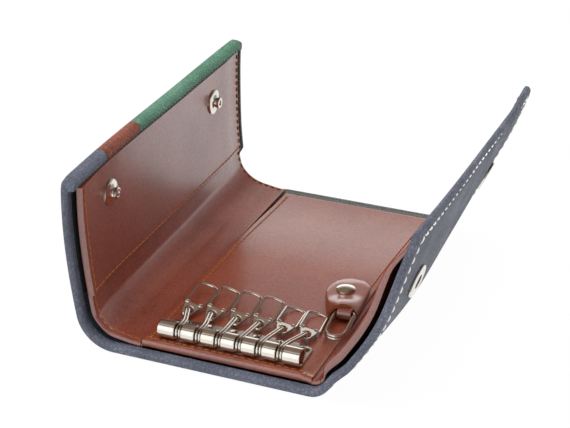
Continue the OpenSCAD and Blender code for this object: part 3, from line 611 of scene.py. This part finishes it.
# Up the near end and round the corner, straight along the top, and the mirror image down the far end
turn = np.linspace(0, np.pi / 2, 8)
turn_s, turn_y = RIGHT_TOP - TOP_STITCH_IN - TURN_R, STITCH_IN - END_Y
up_s = np.concatenate([np.linspace(RIGHT_SPLIT, turn_s, 60), turn_s + TURN_R * np.sin(turn)])
up_y = np.concatenate([np.full(60, turn_y), turn_y + TURN_R - TURN_R * np.cos(turn)])
flap_seam = seam(RIGHT, np.concatenate([up_s, up_s[::-1]]), np.concatenate([up_y, -up_y[::-1]]), 0.0, **WHITE)
folding_piece("right_flap_stitches", flap_seam, WHITE_THREAD, "blue_leather", "right_up")

INSIDE = dict(pitch=2.3, length=1.75, radius=0.2)
PANEL_SEWN = 1.9
ON_PANEL = LINING + UNDER + POCKET
SEAM_ENDS = (NEAR_END + 2.2, FAR_END - 1.1)


def lining_seam(side, s, y, layers):
    """Stitches that lie on top of the given layers over the lining's under side."""
    s, y = np.broadcast_arrays(np.asarray(s, float), np.asarray(y, float))
    return seam(side, s, y, lining_depth(side, s, y) + layers * thinning(side, s, y), **INSIDE)


along = np.linspace(NEAR_END + 1.9, FAR_END - 1.2, 90)
on_panel = along[along < PANEL_END - 1]
pocket_run = np.linspace(POCKET_EDGE, LEFT_TOP - BAND_WIDTH - 0.3, 40)
panel_run = np.linspace(-PANEL_WIDTH + 0.5, -0.5, 60)
pocket_seams = [lining_seam(LEFT, POCKET_EDGE + 1.3, along, LINING + POCKET)]
pocket_seams += [lining_seam(LEFT, pocket_run, end, LINING + POCKET) for end in SEAM_ENDS]
rigid_piece("left_flap_pocket_stitches", joined(*pocket_seams), ORANGE_THREAD, "lining_leather", "left_flap")
bend_seams = [lining_seam(LEFT, np.linspace(-7.0, POCKET_EDGE, 40), end, LINING) for end in SEAM_ENDS]
folding_piece("left_lining_stitches", joined(*bend_seams), ORANGE_THREAD, "lining_leather", "left_up")
right_run = np.linspace(5.0, RIGHT_TOP - HEM_WIDTH, 60)
right_seams = [lining_seam(RIGHT, right_run, end, LINING) for end in SEAM_ENDS]
folding_piece("right_lining_stitches", joined(*right_seams), ORANGE_THREAD, "lining_leather", "right_up")
panel_seams = [lining_seam(RIGHT, s, y, ON_PANEL) for s, y in (
    (panel_run, SEAM_ENDS[0]), (PANEL_SEWN - PANEL_WIDTH, on_panel), (-PANEL_SEWN, on_panel[on_panel > -22]))]
rigid_piece("back_pocket_stitches", joined(*panel_seams), ORANGE_THREAD, "lining_leather", "back")

band_seam = seam(LEFT, LEFT_TOP - BAND_WIDTH * 0.68, np.linspace(-END_Y + 3, END_Y - 3, 90), BAND - 0.12,
                 pitch=1.9, length=1.0, radius=0.2)
rigid_piece("left_band_stitches", band_seam, DARK_THREAD, "green_leather", "left_flap")

# Key bar: one sheet of nickel-plated steel, rolled forward into a barrel, slotted for six hooks and
# riveted down through the pocket panel by its flat base. A rod runs through the barrel.

PANEL_TOP = LINING_LOW + ON_PANEL
BARREL = 2.8
SHEET = 0.7
PITCH = 6.54
SLOT = 2.2
BAR_X = 3.9
BAR_Y = -51.7
BAR_Z = PANEL_TOP + BARREL
BASE_END = BAR_Y + 10.5
CORNER_CUT = 2.0
RIVET_IN = 2.6
HOOKS = 6
BAR_HALF = (HOOKS + 1) * PITCH / 2
BAR_LEFT, BAR_RIGHT = BAR_X - BAR_HALF, BAR_X + BAR_HALF
HOOK_X = BAR_X + (np.arange(HOOKS) - (HOOKS - 1) / 2) * PITCH
ROLL_FROM, ROLL_TO = -100, 210


def metal_finish(name, light, dark, rough, wear=0.35):
    """Plated metal: clouded brightness, uneven gloss and hair-fine scratches that run across it."""
    material, tree, skin, where = new_finish(name)
    cloud = noise(tree, where, 320.0, 3.0).outputs[0]
    stretch = add_node(tree, "ShaderNodeMapping", {"Vector": where, "Scale": (1.0, 9.0, 9.0),
                       "Rotation": (0.1, 0.2, 0.5)}).outputs[0]
    scratch = noise(tree, stretch, 900.0, 2.0).outputs[0]
    bump = add_node(tree, "ShaderNodeBump", {"Height": scratch, "Distance": 0.000012, "Strength": wear})
    fill(tree, skin, {"Base Color": blended(tree, cloud, tint(light), tint(dark)), "Metallic": 1.0,
                      "Roughness": ranged(tree, scratch, 0.35, 0.75, rough, rough + wear * 0.3),
                      "Normal": bump.outputs[0]})
    return material


NICKEL = metal_finish("bright_nickel", "#efeae1", "#d8d2c7", 0.05)
# The rod's dark brown is painted shade: it stands for the shade inside the barrel's slots
SHADED_ROD_METAL = metal_finish("rod_metal_painted_shade", "#9b8672", "#6f5b4b", 0.25)


def barrel_shell(x0, x1):
    """One barrel between two slots: an open roll of sheet, from under the front, over the top and down."""
    angle, x = np.meshgrid(np.linspace(ROLL_FROM, ROLL_TO, 60), stations(x0, x1, 0.8, 0.35), indexing="ij")
    to_lip = np.minimum(angle - ROLL_FROM, ROLL_TO - angle) / 20
    fall = edge_drop(np.minimum(np.minimum(x - x0, x1 - x), to_lip), 0.22)
    turn = np.radians(angle)
    return sheet_shell(*[np.stack([x, BAR_Y - radius * np.cos(turn), BAR_Z + radius * np.sin(turn)], -1)
                         for radius in (BARREL - fall, BARREL - SHEET + fall)])


def slab_shell(x, y, low, high, rounding):
    """A flat plate over a grid of x and y in mm, from low to high, with its edges rounded."""
    to_edge = np.minimum(np.minimum(x - x.min(), x.max() - x), np.minimum(y - y.min(), y.max() - y))
    fall = edge_drop(to_edge, rounding)
    return sheet_shell(np.stack([x, y, low + fall], -1), np.stack([x, y, high - fall], -1))


def turned_points(profile, sides):
    """Circles about Z for the (radius, height) pairs of a profile, in mm."""
    radius, height = np.array(profile, float).T
    spots = np.column_stack([np.zeros((len(radius), 2)), height])
    return hoops(spots, np.outer(radius, [1, 0, 0]), np.outer(radius, [0, 1, 0]), 1.0, sides)


def turned_shell(profile, sides=40):
    """A profile of (radius, height) pairs turned about Z, in mm, from one pole to the other."""
    rings = len(profile) - 2
    poles = [[0, 0, profile[0][1]], [0, 0, profile[-1][1]]]
    points = np.concatenate([turned_points(profile[1:-1], sides), poles])
    spoke = np.arange(sides)
    after = (spoke + 1) % sides
    last, pole = (rings - 1) * sides, np.full(sides, rings * sides)
    caps = [np.stack([after, spoke, pole], -1), np.stack([last + spoke, last + after, pole + 1], -1)]
    return points, hoop_faces(rings, sides).tolist() + caps[0].tolist() + caps[1].tolist()


def turned_ring(profile, sides=48):
    """A closed outline of (radius, height) pairs turned about Z, in mm, as a ring with a hole."""
    return turned_points(profile, sides), hoop_faces(len(profile), sides, closed=True).tolist()


def placed(shell, origin, axes=np.eye(3)):
    """Points in mm turned onto the rows of axes, moved to origin and brought to metres."""
    return (np.asarray(shell[0]) @ np.asarray(axes) + np.asarray(origin)) * MM, shell[1]


def dome(radius, height, count=9):
    """Profile of a low dome from its rim to its pole, a part of a circle."""
    ball = (radius ** 2 + height ** 2) / (2 * height)
    angle = np.linspace(math.asin(radius / ball), 0, count)
    return list(zip(ball * np.sin(angle), height - ball + ball * np.cos(angle)))


base_x, base_y = np.meshgrid(stations(BAR_LEFT, BAR_RIGHT, 1.0, 0.5),
                             stations(BAR_Y - 0.4, BASE_END, 1.0, 0.5), indexing="ij")
base_points, base_faces = slab_shell(base_x, base_y, PANEL_TOP, PANEL_TOP + SHEET, 0.2)
# The far corners of the base are cut off at 45 degrees
cut_in = np.clip(np.abs(base_points[:, 0] - BAR_X) - BAR_HALF + CORNER_CUT, 0, CORNER_CUT)
base_points[:, 1] -= np.clip(base_points[:, 1] - BASE_END + cut_in, 0, None)
edges = [BAR_LEFT, *[x + end * SLOT / 2 for x in HOOK_X for end in (-1, 1)], BAR_RIGHT]
barrels = [barrel_shell(x0, x1) for x0, x1 in zip(edges[0::2], edges[1::2])]
rigid_piece("key_bar_sheet", placed(joined((base_points, base_faces), *barrels), (0, 0, 0)), NICKEL, "nickel",
            "back", "key_bar")
# The rod seen through the slots takes the dark brown metal, as painted shade
rod_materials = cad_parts["bar_rod"].data.materials
rod_materials.clear()
rod_materials.append(SHADED_ROD_METAL)

rivet_head = [(0, 0), (1.7, 0), (1.8, 0.12)] + [(radius, z + 0.12) for radius, z in dome(1.8, 0.6)]
rivet_head = turned_shell(rivet_head)
rivets = [placed(rivet_head, (x, BASE_END - RIVET_IN, PANEL_TOP + SHEET))
          for x in (BAR_LEFT + RIVET_IN, BAR_RIGHT - RIVET_IN)]
rigid_piece("bar_rivet_heads", joined(*rivets), NICKEL, "nickel", "back", "bar_rivets")

# Six key hooks. A link of bent wire hangs on the rod by two eyes and holds a pin; a stamped plate turns on
# the pin; and a loop of round wire, which holds the key, tips in two curled ears of the plate.

# Wire radii of the loop and the link, and half the space between the link's wires; clearance of what turns
WIRE, LEG, LEG_GAP = 0.42, 0.4, 0.5
FIT = 0.08
EYE = 1.6 + FIT + LEG
LINK_LEN = 14.0
PIN_DROP = 0.2
PLATE_W = 5.2
PLATE_RISE = 3.6
PLATE = 0.8
LOOP_LEN = 12.1
ARCH = 6.0
CORNER = 1.1
EAR = 0.8
TILT = 12
SLOPE = 2.6
# For each hook, in degrees: how far its link leans, how far its plate turns back, and how its plate is pitched
LEANS = [-15, -10.5, -4, 0, 4.5, 9.5]
TURNS = [14, 8.5, -0.5, -4.7, -9.5, -16]
PITCHES = [5.5, 5, 4.5, 3.5, -4, -4]
LOOP_HALF = PLATE_W / 2 + 0.1 + WIRE
EAR_LEN = 1.0
FOOT = 0.45


def turn_about(axis, degrees):
    """Matrix whose rows are the axes of a frame turned about X, Y or Z."""
    cos, sin = math.cos(math.radians(degrees)), math.sin(math.radians(degrees))
    return np.array({"x": [[1, 0, 0], [0, cos, sin], [0, -sin, cos]],
                     "y": [[cos, 0, -sin], [0, 1, 0], [sin, 0, cos]],
                     "z": [[cos, sin, 0], [-sin, cos, 0], [0, 0, 1]]}[axis])


def wire_shell(path, radius, flat, sides=12):
    """Round wire in mm along a path: a circle carried square to it, its axes steadied by the vector flat. A
    narrower circle beyond each end rounds it off."""
    path = np.asarray(path, float)
    ahead = unit(np.gradient(path, axis=0))
    across = unit(flat - (ahead @ np.asarray(flat, float))[:, None] * ahead)
    rows = np.clip(np.arange(-1, len(path) + 1), 0, len(path) - 1)
    spots, across, up = path[rows], across[rows], np.cross(ahead, across)[rows]
    spots[0] -= ahead[0] * radius * 0.45
    spots[-1] += ahead[-1] * radius * 0.45
    widths = np.full((len(rows), 1, 1), radius)
    widths[[0, -1]] *= 0.55
    last = (len(rows) - 1) * sides
    ends = [list(range(sides)), list(range(last, last + sides))]
    return hoops(spots, across, up, widths, sides), hoop_faces(len(rows), sides).tolist() + ends


def arc_points(centre, radius, start, stop, count):
    """Points of a circular arc in a plane, from one angle to another in degrees."""
    angle = np.radians(np.linspace(start, stop, count))
    return np.stack([centre[0] + radius * np.cos(angle), centre[1] + radius * np.sin(angle)], -1)


def curve_between(start, corner, stop, count):
    """Points of a parabola from start to stop that leaves and arrives in line with the corner."""
    share = np.linspace(0, 1, count)[:, None]
    return (1 - share) ** 2 * start + 2 * share * (1 - share) * corner + share ** 2 * stop


def flat_path(points, height=0.0):
    """Points of a plane as points of space at one height."""
    return np.column_stack([points, np.full(len(points), height)])


def loop_path():
    """Half the loop and its mirror image: out of an ear, up a leg, round a corner and over the arch."""
    arch_angle = math.asin((LOOP_HALF - CORNER) / (ARCH - CORNER))
    arch_y = PLATE_RISE + LOOP_LEN - WIRE - ARCH
    shoulder = arch_y + (ARCH - CORNER) * math.cos(arch_angle)
    half_path = np.concatenate([
        [[PLATE_W / 2 - 0.95, PLATE_RISE], [PLATE_W / 2 - 0.4, PLATE_RISE]],
        arc_points((LOOP_HALF - FOOT, PLATE_RISE + FOOT), FOOT, -90, 0, 6),
        np.column_stack([np.full(6, LOOP_HALF), np.linspace(PLATE_RISE + 1.2, shoulder - 0.4, 6)]),
        arc_points((LOOP_HALF - CORNER, shoulder), CORNER, 0, 90 - math.degrees(arch_angle), 8),
        arc_points((0, arch_y), ARCH, 90 - math.degrees(arch_angle) + 3, 90, 10)])
    return flat_path(np.concatenate([half_path, half_path[-2::-1] * [-1, 1]]))


PLATE_CORNER, PLATE_WORN = 0.55, 0.12
HEAD_LOW = PLATE / 2 + FIT
PIN_HEAD = turned_shell([(0, HEAD_LOW), (1.3, HEAD_LOW), (1.42, HEAD_LOW + 0.12), (1.42, 0.85), (1.25, 1.02),
                         (1.0, 1.1)] + [(radius, z + 1.1) for radius, z in dome(0.95, 0.5, 5)], 28)
PIN_SHAFT = turned_shell([(0, -0.98), (0.9, -0.98), (1.4, -0.8), (1.4, -0.5), (0.9, -0.48), (0.9, 0.6),
                          (0, 0.6)], 28)
# Corners of the plate, as shares of its width and of its rise over the pin
PLATE_OUTLINE = np.array([[-0.5, 1], [0.5, 1], [0.5, 0.55], [0.26, -0.72], [-0.26, -0.72], [-0.5, 0.55]])


def plate_shell():
    """A stamped plate with worn edges, skinned over four outlines, and two curled ears at its corners."""
    corners = PLATE_OUTLINE * [PLATE_W, PLATE_RISE]
    before, after = (corners + unit(np.roll(corners, step, 0) - corners) * PLATE_CORNER for step in (1, -1))
    outline = np.concatenate([curve_between(*place, 6) for place in zip(before, corners, after)])
    middle = np.array([0, 0.25])
    spokes = outline - middle
    faces = PLATE / 2
    heights = ((PLATE_WORN, -faces), (0, PLATE_WORN - faces), (0, faces - PLATE_WORN), (PLATE_WORN, faces))
    rings = [flat_path(middle + spokes - inset * unit(spokes), height) for inset, height in heights]
    count = len(outline)
    ends = [list(range(count))[::-1], list(range(3 * count, 4 * count))]
    body = np.concatenate(rings), hoop_faces(4, count).tolist() + ends
    ear, ear_faces = turned_shell([(0, 0), (EAR - 0.15, 0), (EAR, 0.12), (EAR, EAR_LEN - 0.12),
                                   (EAR - 0.15, EAR_LEN), (0, EAR_LEN)], 20)
    return joined(body, *[(ear @ turn_about("y", 90) + [x, PLATE_RISE, 0], ear_faces)
                          for x in (-PLATE_W / 2, PLATE_W / 2 - EAR_LEN)])


def link_shell(pin):
    """Two wires that wrap the rod, leave it over the top, dip at a knee and end under the pin's head."""
    wires = []
    for x in (-LEG_GAP, LEG_GAP):
        eye = arc_points((0, 0), EYE, -190, 80, 26)
        eye = np.column_stack([np.full(len(eye), x), -eye[:, 0], eye[:, 1]])
        knee = np.array([x, BARREL + 0.3, 0.83 * EYE])
        foot = pin + [x, -0.9, HEAD_LOW + LEG]
        bend = curve_between(eye[-1], knee, knee + (foot - knee) * 0.25, 7)
        run = knee + (foot - knee) * np.linspace(0.32, 1, 8)[:, None]
        wires.append(wire_shell(np.concatenate([eye[:-1], bend, run]), LEG, (1, 0, 0), sides=10))
    tilted = turn_about("y", TILT)
    return joined(*wires, *[(points @ tilted + pin, faces) for points, faces in (PIN_HEAD, PIN_SHAFT)])


for number, (x, lean, turn, pitch) in enumerate(zip(HOOK_X, LEANS, TURNS, PITCHES), 1):
    slope = turn_about("x", -SLOPE)
    hinge = np.array([x, BAR_Y, BAR_Z])
    pin = np.array([0, LINK_LEN, -PIN_DROP]) @ turn_about("z", -lean)
    turned = turn_about("x", pitch) @ turn_about("z", -lean - turn) @ turn_about("y", TILT) @ slope
    at_pin = hinge + pin @ slope
    rigid_piece(f"hook_wire_link_{number}", placed(link_shell(pin), hinge, slope), NICKEL, "nickel",
                f"link_{number}", f"hook_link_{number}")
    rigid_piece(f"hook_ear_plate_{number}", placed(plate_shell(), at_pin, turned), NICKEL, "nickel",
                f"plate_{number}", f"hook_plate_{number}")
    rigid_piece(f"hook_wire_loop_{number}", placed(wire_shell(loop_path(), WIRE, (0, 0, 1)), at_pin, turned),
                NICKEL, "nickel", f"loop_{number}", f"hook_loop_{number}")

# Tab and ring: a shield of the cognac leather, riveted down over a narrow strap that is rolled round the
# straight bar of an oblong split ring. The cut edges are left raw.

TAB_X, TAB_Y = 24.2, -8.7
TAB_TURN = 19.5
RING_TURN = 4.5
TAB = 1.1
TAB_HALF = 6.2
TAB_TIP = 0.575
UNDER_TAB = 0.05
TO_ROLL = 14.7
ROLL_HALF = 2.3
TAIL = 7.0
RING_W = 7.0
RING_LEN = 14.0
RING_WIRE = 1.0
ROLL_BORE = math.hypot(RING_WIRE, 2 * RING_WIRE) / 2 + FIT
ROLL_R = ROLL_BORE + TAB
STRAP = 0.65
RAW_EDGE = leather_finish("raw_cut_edge", "#a8623a", "#8a4a2a", "#5f2f1a", 0.6, 0.0005, 0.3, 0.00005)
tab_axes, roll_axes = turn_about("z", TAB_TURN), turn_about("z", RING_TURN)
tab_spot = np.array([TAB_X, TAB_Y, PANEL_TOP])
roll_spot = tab_spot + np.array([0, -TO_ROLL, UNDER_TAB + ROLL_R]) @ tab_axes
# Half widths of the shield to its left and right, as shares of TAB_HALF, at shares of TO_ROLL from the rivet
LEFT_OUTLINE = ([-0.97, -0.5, -0.06, 0.12, 0.3, 0.46, 0.56, 0.57],
                [-0.84, -0.96, -1.03, -0.96, -0.76, -0.42, 0.0, 0.15])
RIGHT_OUTLINE = ([-0.97, -0.5, -0.04, 0.23, 0.45, 0.57], [0.6, 0.86, 1.14, 1.28, 0.98, 0.3])


def smoothed(values, times=12):
    """A row of numbers with its kinks rubbed down by averaging each with its neighbours."""
    for _ in range(times):
        values = np.concatenate([values[:1], (values[:-2] + 2 * values[1:-1] + values[2:]) / 4, values[-1:]])
    return values


def tab_shell(low, thickness, inset, droop, hood):
    """The shield: each cross line runs between its left and right outline. Its edges droop and are rounded,
    and towards the ring its middle rises by hood to stand over the roll."""
    ahead = np.concatenate([np.linspace(-0.97, 0.45, 44), np.linspace(0.46, 0.57, 14)])
    left, right = (smoothed(np.interp(ahead, *outline))[:, None] for outline in (LEFT_OUTLINE, RIGHT_OUTLINE))
    across = np.concatenate([[0, 0.01, 0.03, 0.06], np.linspace(0.1, 0.9, 17), [0.94, 0.97, 0.99, 1]])
    side_share = np.abs(2 * across - 1)[None, :]
    middle = (left + right) * TAB_HALF / 2
    x = middle + (right - left) * (across[None, :] - 0.5) * (TAB_HALF - inset)
    y = np.repeat(ahead[:, None] * TO_ROLL, len(across), 1)
    to_side = (1 - side_share) * 3.0 * np.maximum(right - left, 0.3)
    fall = edge_drop(np.minimum(to_side, TAB_TIP * TO_ROLL - y), 0.35)
    arch = hood * ease(-y, 2.5, 11.0) * (1 - side_share ** 2.5)
    sag = droop * (side_share ** 4 + ease(y, 4.0, 5.0) * (1 - side_share ** 4))
    z = low + arch - sag
    return sheet_shell(np.stack([x, y, z + fall * 0.5], -1), np.stack([x, y, z + thickness - fall], -1))


def strap_shell():
    """The strap round the ring: straight from behind the roll, then over it and down its near side, as half a
    circle about the ring's bar."""
    angle = np.concatenate([np.full(8, 90.0), np.linspace(90, 270, 30)[1:]])
    behind = np.concatenate([np.linspace(2.5, 0, 8), np.zeros(29)])
    angle, x = np.meshgrid(angle, stations(-ROLL_HALF, ROLL_HALF, 0.7, 0.5), indexing="ij")
    behind = np.repeat(behind[:, None], x.shape[1], 1)
    fall = edge_drop(ROLL_HALF - np.abs(x), 0.3)
    turn, dip = np.radians(angle), 0.55 * ease(behind, 1.0, 6.0)
    return sheet_shell(*[np.stack([x, behind + radius * np.cos(turn), radius * np.sin(turn) - dip], -1)
                         for radius in (ROLL_BORE + STRAP - fall, ROLL_BORE + fall)])


shield = tab_shell(UNDER_TAB + TAB, TAB + 0.2, 0.0, 0.55, 3.1)
under_layer = tab_shell(UNDER_TAB, TAB - UNDER_TAB, 0.7, 0.0, 0.9)
tail_x, tail_y = np.meshgrid(stations(-ROLL_HALF, ROLL_HALF, 0.7, 0.5),
                             np.concatenate([[0.0], np.linspace(0.3, TAIL, 10)]))
tail = slab_shell(tail_x, tail_y, -ROLL_R, -ROLL_BORE, 0.25)
# The last faces, round the shield's rim, are the raw cut edge: its grid has 58 rows and 25 columns
rim_faces = 2 * (58 + 25) - 4
rigid_piece("tab_shield", placed(shield, tab_spot, tab_axes), PANEL_LEATHER, "lining_leather", "back",
            "tab_strap", cut_finish=RAW_EDGE, cut_faces=rim_faces)
rigid_piece("tab_under_layer", joined(placed(under_layer, tab_spot, tab_axes),
                                      placed(joined(strap_shell(), tail), roll_spot, roll_axes)),
            LINING_LEATHER, "lining_leather", "back")

cap = [(0, 0), (2.8, 0), (3.0, 0.2), (2.95, 0.5)] + [(radius, z + 0.6) for radius, z in dome(2.75, 0.55, 12)]
cap = placed(turned_shell(cap, 48), tab_spot + [0, 0, 0.2 + 2 * TAB], tab_axes)
rigid_piece("tab_rivet_cap", cap, NICKEL, "nickel", "back", "tab_rivet")


def ring_turns():
    """Two turns of wire round an oblong, climbing from the lower one to the upper one as they go."""
    half_wide, near, corner = (RING_W - RING_WIRE) / 2, RING_LEN - RING_WIRE, 1.0
    once = np.concatenate([
        np.column_stack([np.linspace(corner - half_wide, half_wide - corner, 10), np.zeros(10)]),
        arc_points((half_wide - corner, -corner), corner, 90, 0, 6)[1:],
        np.column_stack([np.full(10, half_wide), np.linspace(-corner - 0.4, half_wide - near, 10)]),
        arc_points((0, half_wide - near), half_wide, 0, -180, 24)[1:],
        np.column_stack([np.full(10, -half_wide), np.linspace(half_wide - near + 0.4, -corner, 10)]),
        arc_points((corner - half_wide, -corner), corner, 180, 90, 6)[1:]])
    path = np.concatenate([once, once[1:]])
    climb = ease(np.linspace(0, 1, len(path)), 0.42, 0.16)
    return np.column_stack([path, RING_WIRE * (climb - 0.5)])


# The ring leans down from the roll until its near end lies on the panel
ring_slope = math.degrees(math.asin((ROLL_R - RING_WIRE - 0.3) / RING_LEN))
ring_wire = wire_shell(ring_turns(), RING_WIRE / 2, (0, 0, 1), sides=14)
rigid_piece("split_key_ring", placed(ring_wire, roll_spot, turn_about("x", ring_slope) @ roll_axes), NICKEL,
            "nickel", "ring", "tab_ring")

# Two snap fasteners. Studs stand on the left flap's pocket, and sockets with a pressed rim sit on the
# outer face of the right flap; each is clinched to a disc behind the leather.

SNAP_Y = 37.0
STUD_S = LEFT_BEND + 32.0
SOCKET_S = 41.24


def face_axes(side, s, y):
    """Rows are the directions along the leather, along the folds, and square to both inwards, all taken from
    points half a millimetre to each side on the waved leather."""
    ahead = unit(case_point(side, s + 0.5, y, 0.0) - case_point(side, s - 0.5, y, 0.0))
    folds = case_point(side, s, y + 0.5, 0.0) - case_point(side, s, y - 0.5, 0.0)
    folds = unit(folds - (folds @ ahead) * ahead)
    return np.stack([ahead, folds, side[0] * np.cross(ahead, folds)])


stud = [(0, 0.05), (4.2, 0.05), (4.2, 0.35), (3.9, 0.6), (3.1, 0.68), (2.5, 1.0), (1.75, 1.3), (1.6, 1.7),
        (1.7, 1.85), (1.95, 2.05), (1.95, 2.4), (1.75, 2.62), (1.4, 2.7), (0.9, 2.62), (0.75, 2.3), (0, 2.3)]
socket = [(2.25, -0.05), (5.0, -0.05), (5.2, -0.2), (5.2, -0.6), (5.0, -0.8), (4.6, -0.9), (4.2, -0.85),
          (4.0, -0.7), (3.3, -0.65), (3.1, -0.8), (2.85, -0.9), (2.5, -0.9), (2.25, -0.8)]
disc = [(0, 1.55), (3.6, 1.55), (3.8, 1.7), (3.8, 2.0), (3.6, 2.15), (0, 2.15)]
stud, socket, disc = turned_shell(stud, 44), turned_ring(socket, 56), turned_shell(disc, 36)
on_pocket = [lining_depth(LEFT, STUD_S, y) + LINING + POCKET for y in (-SNAP_Y, SNAP_Y)]
on_outside = [0.0, 0.0]
for name, shell, side, s, depths, body, node in (
        ("snap_stud_pair", stud, LEFT, STUD_S, on_pocket, "left_flap", "snap_studs"),
        ("snap_socket_pair", socket, RIGHT, SOCKET_S, on_outside, "right_flap", "snap_sockets"),
        ("stud_backs_pair", disc, LEFT, STUD_S, on_outside, "left_flap", "stud_backs"),
        ("socket_caps_pair", disc, RIGHT, SOCKET_S, on_outside, "right_flap", "socket_caps")):
    pair = [placed(shell, case_point(side, s, y, depth) / MM, face_axes(side, s, y))
            for y, depth in zip((-SNAP_Y, SNAP_Y), depths)]
    rigid_piece(name, joined(*pair), NICKEL, "nickel", body, node)

# The photographer's table: a white sheet under soft lamps, and the camera at the photograph's angle.
# Metal and leather mirror a bright sky with a darker band round the horizon.

scene = bpy.context.scene
scene.view_settings.view_transform = "Standard"
floor_mesh = bpy.data.meshes.new("floor")
FLOOR, FLOOR_Z = 4.0, -0.0001
floor_mesh.from_pydata([(-FLOOR, -FLOOR, FLOOR_Z), (FLOOR, -FLOOR, FLOOR_Z), (FLOOR, FLOOR, FLOOR_Z),
                        (-FLOOR, FLOOR, FLOOR_Z)], [], [(0, 1, 2, 3)])
floor = bpy.data.objects.new("floor", floor_mesh)
scene.collection.objects.link(floor)
WHITE_LIGHT = (1, 1, 1, 1)
paper, tree, paper_skin = new_finish("white_paper")[:3]
fill(tree, paper_skin, {"Base Color": (0.92, 0.92, 0.92, 1), "Roughness": 0.9})
rays = add_node(tree, "ShaderNodeLightPath").outputs
glow = add_node(tree, "ShaderNodeEmission", {"Color": WHITE_LIGHT, "Strength": 1.0}).outputs[0]
# Seen by the camera and in metal the floor is white, and keeps a trace of its shading
seen = figure(tree, "MULTIPLY", figure(tree, "MAXIMUM", rays["Is Camera Ray"], rays["Is Glossy Ray"]), 0.97)
paper_look = add_node(tree, "ShaderNodeMixShader", {0: seen, 1: paper_skin.outputs[0], 2: glow})
fill(tree, tree.nodes["Material Output"], {"Surface": paper_look.outputs[0]})
floor_mesh.materials.append(paper)

world = bpy.data.worlds.new("studio")
scene.world = world
world.use_nodes = True
tree = world.node_tree
towards = add_node(tree, "ShaderNodeTexCoord").outputs["Generated"]
towards = add_node(tree, "ShaderNodeSeparateXYZ", {0: towards}).outputs
over = figure(tree, "ARCTAN2", towards["Z"], figure(tree, "MULTIPLY", towards["Y"], -1.0))
sky = add_node(tree, "ShaderNodeValToRGB", {0: figure(tree, "DIVIDE", over, math.pi)})
# Colour and brightness of the sky from the front horizon over the zenith to the back horizon, in half turns
SKY = [(0.0, "#ffffff", 1.3), (0.24, "#ffffff", 1.4), (0.3, "#ffffff", 0.9), (0.322, "#ffffff", 0.03),
       (0.348, "#ffffff", 0.03), (0.36, "#fff0e6", 0.7), (0.42, "#fff0e6", 0.5), (0.47, "#e6cdb9", 0.3),
       (0.72, "#e6c4aa", 0.26), (0.8, "#eed2c0", 0.36), (0.835, "#ffffff", 0.5), (0.875, "#ffffff", 0.85),
       (0.9, "#ffffff", 1.4), (1.0, "#ffffff", 1.5)]
while len(sky.color_ramp.elements) < len(SKY):
    sky.color_ramp.elements.new(0.5)
for element, (position, colour, level) in zip(sky.color_ramp.elements, SKY):
    element.position = position
    element.color = tuple(np.array(tint(colour)[:3]) * level / 2) + (1.0,)
# The sky is brighter on the left than on the right
brightness = ranged(tree, towards["X"], -0.15, 0.25, 2.0, 0.5, interpolation_type="SMOOTHSTEP")
lights = ((WHITE_LIGHT, 0.85), (sky.outputs[0], brightness), (WHITE_LIGHT, 1.0))
lit, mirrored, backdrop = (add_node(tree, "ShaderNodeBackground", {"Color": colour, "Strength": strength})
                           for colour, strength in lights)
rays = add_node(tree, "ShaderNodeLightPath").outputs
around = add_node(tree, "ShaderNodeMixShader", {0: rays["Is Glossy Ray"], 1: lit.outputs[0],
                                                2: mirrored.outputs[0]})
around = add_node(tree, "ShaderNodeMixShader", {0: rays["Is Camera Ray"], 1: around.outputs[0],
                                                2: backdrop.outputs[0]})
fill(tree, tree.nodes["World Output"], {"Surface": around.outputs[0]})


def soft_lamp(name, place, size, watts):
    """A square lamp in metres that looks at the case."""
    lamp = bpy.data.lights.new(name, "AREA")
    lamp.size, lamp.energy = size, watts
    holder = bpy.data.objects.new(name, lamp)
    scene.collection.objects.link(holder)
    holder.location = place
    holder.visible_glossy = False
    direction = Vector((0, 0, 0.02)) - Vector(place)
    holder.rotation_euler = direction.to_track_quat("-Z", "Y").to_euler()


soft_lamp("top_lamp", (-0.1, 0.0, 0.75), 0.7, 5.0)
soft_lamp("back_lamp", (0.15, 0.75, 0.42), 0.6, 3.0)
soft_lamp("left_lamp", (-0.7, -0.35, 0.45), 0.5, 2.5)

lens = bpy.data.cameras.new("camera")
camera = bpy.data.objects.new("camera", lens)
scene.collection.objects.link(camera)
camera.location = (0.17754, -0.43074, 0.26167)
aim = Vector((0, 0, 0.025)) - Vector(camera.location)
camera.rotation_euler = aim.to_track_quat("-Z", "Y").to_euler()
lens.sensor_width = 36.0
lens.lens = 104.04
lens.clip_start = 0.01
scene.camera = camera
